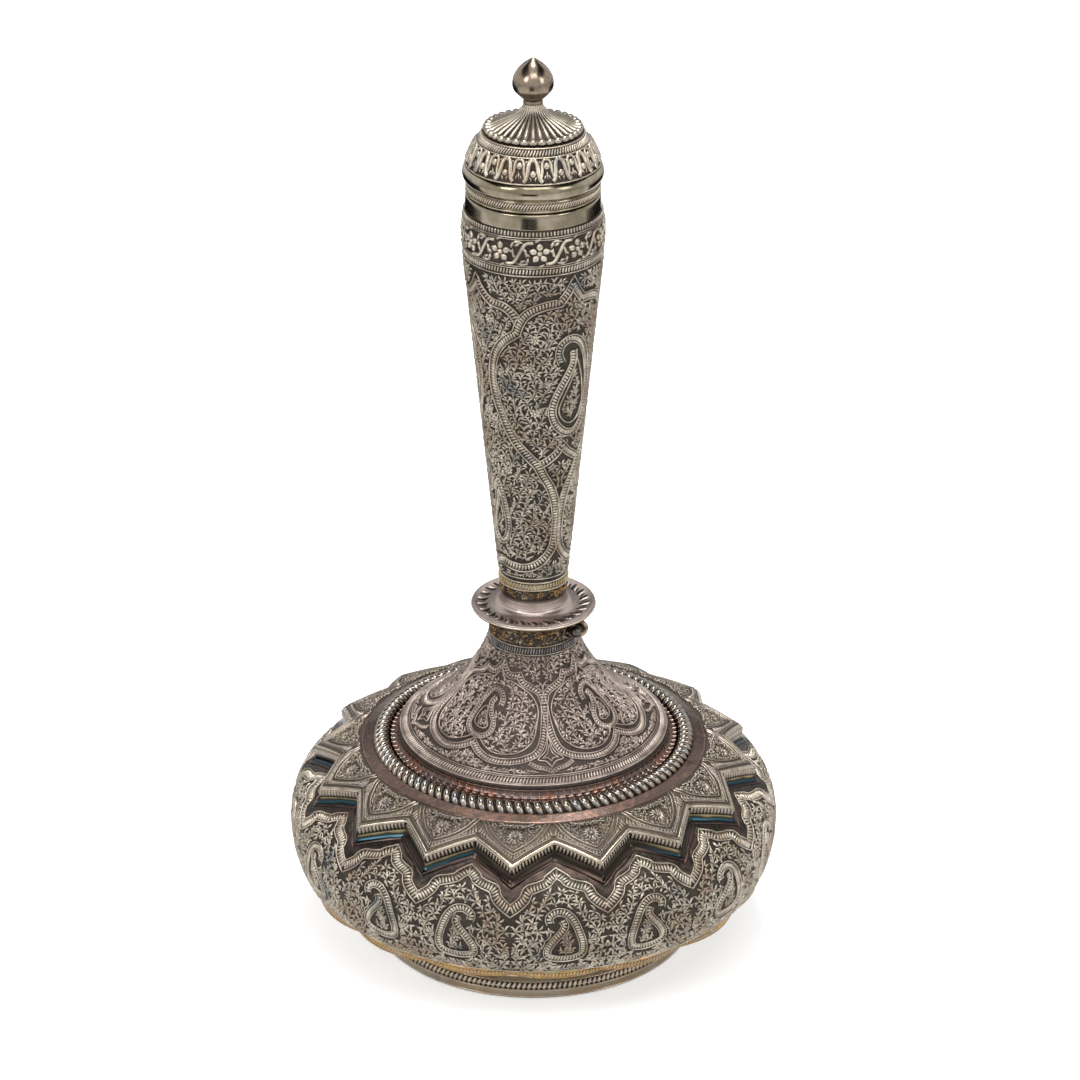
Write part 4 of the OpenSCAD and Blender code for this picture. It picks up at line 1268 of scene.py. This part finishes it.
def neck_work():
    axis = 35.5
    back = axis - 90
    on = NECK.on
    straps = Relief(NECK)
    straps.strap(3.0, on([(back, 217.6), (-49, 214.9), (-39.5, 212.3), (-27, 211.5), (-19, 209.7),
                          (-13.8, 207.2)]), mirrored=True)
    straps.strap(3.0, on([(axis, 218.2), (30.5, 215.4), (24, 212.6)]),
                 on([(24, 212.6), (12, 212.2), (0, 210.8), (-8, 208.6), (-13.2, 205.4), (-15.4, 203.2)]),
                 on([(-15.4, 203.2), (-27.9, 200.1), (-37.6, 195.8), (-42.6, 190.7), (-43.7, 185.2),
                     (-40.2, 180), (-34.6, 175.7), (-28.8, 171.7), (-20.2, 167.5), (-7, 163.3), (5.2, 159.8),
                     (12.5, 156.2), (22.1, 152), (28.8, 147.4), (32.4, 141.4), (32.2, 135.5), (26.8, 130.7),
                     (8.7, 126.7), (-13.5, 125.0), (-38.1, 125.2), (back, 126.0)]), mirrored=True)
    straps.strap(2.7, on([(6.0, 159.9), (13, 160.7), (20.4, 161.9), (28, 163.4), (axis, 165.6)]),
                 mirrored=True)
    straps.mirror(axis)
    straps.strap(2.7, on([(28.6, 192.9), (25.0, 196.0), (28.0, 199.0), (37.4, 200.4), (49, 198.6),
                          (58.0, 194.1), (64, 188.2), (67.4, 182), (67.0, 176.5), (61, 171.6), (50, 169.4),
                          (37.5, 169.9), (26.4, 172.6), (20.4, 176.6), (22.0, 180.4), (28.6, 184.6),
                          (36, 188.4), (42, 192.2), (41.4, 196.2)]))
    straps.wire(on([(45.5, 193.4), (52, 189.6), (58, 184), (60.5, 178.6), (55, 174), (43, 172.6),
                    (32.5, 174.4), (27.8, 177.2), (30, 180), (37, 184.2), (43.4, 188.4)]), 0.45, 0.5, True)
    straps.strap(2.2, on([(-60.5, 149.0), (-57, 151.8), (-51, 152.8), (-45, 150), (-39.5, 144.5),
                          (-36.6, 138.6), (-41.5, 134.4), (-53, 132.6), (-64, 134), (-66.4, 138.4),
                          (-60.5, 142.2), (-54.6, 146.4), (-52.2, 149.6)]), wire=0.4, gap=0.14)
    raised("neck_straps", straps, 2, CHASED)

    leaves = Relief(NECK)
    tall_hole = on([(22.4, 193), (20.5, 196.4), (24.5, 200.4), (37, 202.2), (51, 200.4), (61.4, 195.6),
                    (68, 189), (72, 182), (71.4, 175.4), (64, 170), (50, 167.6), (37, 168), (24, 170.8),
                    (15.6, 176.2), (17.6, 181.4), (25, 186), (33, 190)])
    short_hole = on([(-66.5, 149), (-60, 153.6), (-50.5, 154.6), (-42, 151.4), (-35, 145), (-31, 138),
                     (-37, 132.6), (-53, 130.8), (-68, 132.4), (-72, 138.6), (-64, 144)])
    wedge = on([(11, 158.2), (20, 159.6), (29, 161), (axis, 162.8), (axis, 142.6), (33.4, 147),
                (26.4, 153.2), (17, 156.8)])
    top = on([(back, 219.6), (-46, 217.2), (-38, 214.5), (-26, 213.6), (-13.5, 210), (-4, 211.6),
              (10, 214.4), (21, 214.8), (28, 217.2), (axis, 220.4), (axis, 221.2), (back, 221.2)])
    foot = on([(back, 121.6), (axis, 121.6), (axis, 134), (31.5, 130.2), (25, 127.6), (9, 124.6),
               (-13.5, 123), (-38, 123.2), (back, 124)])
    tall = on([(45.5, 192), (52, 188), (57.5, 183), (58.6, 178.8), (54, 175.4), (43, 174), (34, 175.6),
               (31, 177.6), (34, 181), (42, 186.4)])
    short = on([(-52, 149), (-45, 145), (-41, 139.6), (-45, 136.2), (-54, 135), (-61, 136.4), (-60, 139),
                (-53, 144)])
    centre = on([(axis, 168), (28, 165.6), (20, 164.1), (6.5, 162.0), (-6, 165.2), (-18, 169.2),
                 (-27, 173.4), (-34, 178), (-38.2, 182.4), (-38.6, 186), (-37.4, 190.2), (-33, 194.4),
                 (-25, 198), (-12, 201.8), (-6, 206.6), (3, 208.8), (13, 210.2), (25, 210.8), (32, 213.8),
                 (axis, 215.9)])
    outer = on([(back, 213.6), (-46, 212), (-38.5, 210), (-27, 209.3), (-19.5, 207), (-18.5, 205.2),
                (-22, 203.6), (-31, 200.8), (-41.5, 196.8), (-47.5, 191.2), (-49, 185), (-45.4, 178.8),
                (-39, 173.8), (-32, 169.4), (-22, 165), (-9, 161), (3, 157.6), (10, 154), (19.5, 149.9),
                (25, 145.6), (27.6, 140.8), (27.2, 136.6), (22.6, 132.8), (7, 129), (-13.5, 127.4),
                (-38, 127.6), (back, 128.4)])
    roots = on([(33, 148), (-12, 210.6), (20, 121.8), (44, 174), (-52, 135), (6.5, 162), (-18, 128)])
    leaves.vine(wedge, roots[0], 2.9, 2, -0.1, 0.55)
    leaves.vine(top, roots[1], 2.9, 13, -0.1, 0.55)
    leaves.vine(foot, roots[2], 2.4, 7, -0.2, 0.45)
    leaves.mirror(axis)
    leaves.vine(tall, roots[3], 2.8, 5, -0.1)
    leaves.vine(short, roots[4], 2.4, 9, -0.1, 0.45)
    leaves.vine(centre + mirrored(centre, axis)[-2:0:-1], roots[5], 3.1, 21, -0.5, 0.6, 0.04, [tall_hole])
    leaves.vine(outer + mirrored(outer, back)[-2:0:-1], roots[6], 3.0, 33, -0.5, 0.6, 0.04, [short_hole])
    raised("neck_leaves", leaves, 2, CHASED)
    at = NECK.at_z
    hatching("neck_band_hatching", NECK, at(222.2), at(223.7), 132, 0.3, 0.78, 0.32, CHASED)
    hatching("neck_top_hatching", NECK, at(233.7), at(235.0), 122, 0.1, 0.78, 0.32, CHASED)
    hoops("neck_lines", NECK, [(at(z), w, h) for z, w, h in (
        (119.7, 0.4, 0.4), (121.2, 0.45, 0.4), (221.7, 0.45, 0.45), (224.15, 0.4, 0.42), (224.75, 0.3, 0.35),
        (232.7, 0.3, 0.35), (233.3, 0.4, 0.42))], CHASED)


def neck_band():
    """Band of daisies between facing scrolls"""
    first = 5.4
    mid = NECK.at_z(228.7)
    band = Relief(NECK)
    band.wire(around(first, [(5.0, -3.2), (11.5, -2.8), (16.3, 0), (21, 2.8), (27.5, 3.2)], mid), 1.1, 0.6,
              step=0.5)
    for az, s, angle, length in (
            (13.4, -1.8, 105, 2.6), (10.0, 3.2, -5, 2.6), (9.2, 1.4, 60, 1.6), (19.2, 1.8, -75, 2.6),
            (23.0, -3.2, 175, 2.6), (23.6, -1.4, -120, 1.6), (16.4, -3.0, 20, 1.6), (16.4, 3.0, 200, 1.6),
            (4.0, -3.3, 200, 1.8), (28.6, 3.3, 20, 1.8), (12.0, 0.2, 150, 1.4), (20.6, -0.2, -30, 1.4)):
        band.leaf(first + az, mid + s, angle, 1.25 * length, 1.5, 0.5, 0.25)
    band.daisy(first, mid, 3.0, 5, 90, 0.6)
    raised("neck_daisies", band, 11, CHASED)


neck_work()
neck_band()


# Mouth and cap

def cap_work():
    mouth = side_of("mouth_ring", body="neck")
    hoops("mouth_lines", mouth, [(mouth.s[0] + 0.5, 0.4, 0.2), (mouth.s[-1] - 0.5, 0.35, 0.2)], PALE_GILT,
          "bright_silver")
    skirt = Side([(r_of("cap_skirt"), z_of("cap_skirt", top)) for top in (False, True)], body="cap")
    hatching("skirt_hatching", skirt, 1.2, 2.75, 140, 1.0, 0.74, 0.32, PALE_WORK)
    groove("skirt_groove", skirt, 1.1, 2.85, "dark_silver")
    hoops("skirt_lines", skirt, [(0.5, 0.8, 0.35), (2.98, 0.3, 0.35)], POLISHED, "bright_silver")
    count = 14
    half = 180 / count
    at = DOME.at_z
    low = z_of("cap_dome", False)
    foot, crown = at(low + 0.9), at(255.6)
    mid, tall = (foot + crown) / 2, (crown - foot) / 2
    vine = Relief(DOME)
    vine.wire(around(0, [(0, 0.88), (2.2, 0.84), (4.0, 0.5), (5.0, -0.2), (6.6, -0.75), (8.6, -0.95)], mid,
                     tall), 1.5, 0.85, step=0.4)
    vine.wire(around(0, [(7.0, -0.65), (8.4, -0.1), (8.5, 0.5), (10.2, 0.85), (half, 0.9)], mid, tall), 1.0,
              0.7, step=0.35)
    for az, up, angle, width in ((half - 2.8, -0.75, 60, 0.8), (1.8, -0.9, 70, 0.9), (4.4, 0.8, -40, 0.9)):
        vine.leaf(az, mid + tall * up, angle, 1.5, width, 0.5, 0.2)
    vine.mirror(0)
    vine.button(0, mid - tall * 0.3, 1.1, 0.8)
    vine.button(half, mid + tall * 0.35, 1.15, 0.85)
    vine.leaf(half, mid - tall * 0.1, -90, 2.2, 1.0, 0.5)
    raised("dome_vine", vine, count, CHASED)
    hatching("dome_hatching", DOME, at(256.1), at(257.6), 112, 0.8, 0.76, 0.35, CHASED)
    hoops("dome_lines", DOME, [(at(low + 0.35), 0.5, 0.35), (at(255.75), 0.45, 0.5), (at(257.9), 0.55, 0.5),
                               (DOME.s[-1] - 0.3, 0.6, 0.3)], PALE_WORK)


def canopy():
    """Ribs from the stem down to the edge, each with a drop at its end, over a smooth bell"""
    low, high = z_of("cap_canopy", False), z_of("cap_canopy")
    out, top = 14.0, 2.9
    tall = high - low
    count = 34
    t = np.array([0, 0.02, 0.05, 0.09, 0.13, 0.17, 0.22, 0.35, 0.5, 0.65, 0.78, 0.88, 0.95, 1])
    line = bezier([(out, low), (out - 0.6, low + 0.45 * tall), (0.24 * out, low + 0.42 * tall), (top, high)],
                  t)
    bed = line - outward(line, t) * (0.9 * line[:, :1] / out + 0.05)
    turned("canopy_bed", np.vstack([[(1.45, low + 0.05)], bed, [(1.45, high)]]), REED_SHADE, "dark_silver",
           "cap_canopy", "cap")
    across, up = np.array([(-1.0, -0.6), (-0.85, 0.2), (-0.45, 0.85), (0.0, 1.0), (0.45, 0.85), (0.85, 0.2),
                           (1.0, -0.6)]).T
    u = t[:, None]
    width = np.interp(u, [0, 0.02, 0.05, 0.13, 0.2, 0.25, 0.85, 0.95],
                      [0.4, 0.95, 1.25, 1.2, 0.72, 0.72, 0.86, 1.0])
    depth = np.interp(u, [0, 0.02, 0.05, 0.13, 0.2, 0.85, 0.95], [0.1, 0.7, 1.1, 1.1, 0.6, 0.75, 0.3])
    drop = np.interp(u, [0, 0.03, 0.07, 0.13, 0.2], [0.0, 0.45, 0.75, 0.7, 0.0])
    rise = (up * depth - 1) * 0.8 * line[:, :1] / out + drop
    points = rib(line, rise, np.radians(across * width * (360 / count) / 2), t)
    points[:, 2] = np.maximum(points[:, 2], low + 0.02)
    repeated("canopy_ribs", points, tube_faces(len(t), len(up)), CANOPY_SILVER, count, "cap",
             "bright_silver")


cap_work()
canopy()


# Studio

def level(left, right, front, back, z):
    """Corners of a level rectangle"""
    return [(left, front, z), (right, front, z), (right, back, z), (left, back, z)]


def matte(name, shade, roughness):
    f = Finish(name, 0.0, roughness)
    f.feed(f.shader, {"Base Color": (shade, shade, shade, 1), "Specular IOR Level": 0.0})
    return f


def white_floor():
    """Floor that reads white to the camera and keeps the object's shadow"""
    f = matte("white_floor", 0.9, 0.9)
    own = Value(f, f.shader.outputs[0])
    seen = f.node("ShaderNodeLightPath", {}, out="Is Camera Ray")
    glow = f.node("ShaderNodeEmission", {}, (1, 1, 1, 1), 0.5)
    pick = f.node("ShaderNodeMixShader", {}, seen, own, f.node("ShaderNodeAddShader", {}, own, glow))
    f.feed(f.tree.nodes["Material Output"], {0: pick})
    return f.material


def studio():
    reach = 3000
    mesh_object("studio_floor", level(-reach, reach, -reach, reach, -0.3), [(0, 1, 2, 3)],
                         white_floor())
    world = bpy.data.worlds.new("white_room")
    world.use_nodes = True
    bpy.context.scene.world = world
    room = Nodes(world.node_tree)
    paths = room.node("ShaderNodeLightPath", {}).socket.node.outputs
    shown, glossy, clear = (Value(room, paths["Is %s Ray" % kind])
                            for kind in ("Camera", "Glossy", "Transmission"))
    strength = room.node("ShaderNodeMapRange", {}, shown + glossy + clear, None, None, 0.55, 1.0)
    room.feed(room.tree.nodes["Background"], {"Strength": strength, "Color": (1, 1, 1, 1)})
    black = matte("black_card", 0.01, 1.0).material
    for name, corners in (
            ("front_card", [(-560, -1600, 0), (200, -1600, 0), (60, -455, 0), (-170, -455, 0)]),
            ("left_card", level(-900, -190, 60, 900, 0)),
            ("right_card", level(260, 900, 120, 800, 0)),
            ("back_card", [(-420, 900, 250), (420, 900, 250), (420, 900, 620), (-420, 900, 620)]),
            ("left_ceiling", level(-1100, -330, -600, 500, 1000)),
            ("right_ceiling", level(330, 1100, -600, 500, 1000))):
        card = mesh_object(name, corners, [(0, 1, 2, 3)], black)
        card.visible_camera = card.visible_diffuse = card.visible_shadow = False
    for name, place, aim, size, power in (
            ("key", (-900, -900, 1100), 120, (500, 700), 7.0),
            ("fill", (1000, -700, 800), 120, (400, 600), 3.0),
            ("front", (120, -750, 1200), 150, (800, 320), 3.0),
            ("top", (40, 200, 1500), 100, (380, 700), 13.0)):
        lamp = bpy.data.lights.new(name, "AREA")
        lamp.shape = "RECTANGLE"
        lamp.size, lamp.size_y = size[0] * MM, size[1] * MM
        lamp.energy = power
        rig = placed(name, lamp)
        rig.location = [c * MM for c in place]
        rig.rotation_euler = (Vector((0, 0, aim)) - Vector(place)).to_track_quat("-Z", "Y").to_euler()


def photograph_camera():
    elevation = 25.75
    distance = 1209.99
    aim_height = 129.15
    sideways = 1.965
    camera = bpy.data.cameras.new("camera")
    camera.sensor_width = 36
    camera.lens = 135.47
    camera.clip_start = 0.05
    camera.clip_end = 20
    rig = placed("camera", camera)
    e = math.radians(elevation)
    rig.location = (sideways * MM, -distance * math.cos(e) * MM, (aim_height + distance * math.sin(e)) * MM)
    rig.rotation_euler = (math.radians(90 - elevation), 0, 0)
    bpy.context.scene.camera = rig


studio()
photograph_camera()
bpy.context.scene.view_settings.view_transform = "Standard"

for node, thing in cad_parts.items():
    thing.data.materials.clear()
    thing.data.materials.append({"eye_pin": BALL_TONE, "chain_eye": LOOP_TONE}.get(node, INNER))

bpy.context.view_layer.update()
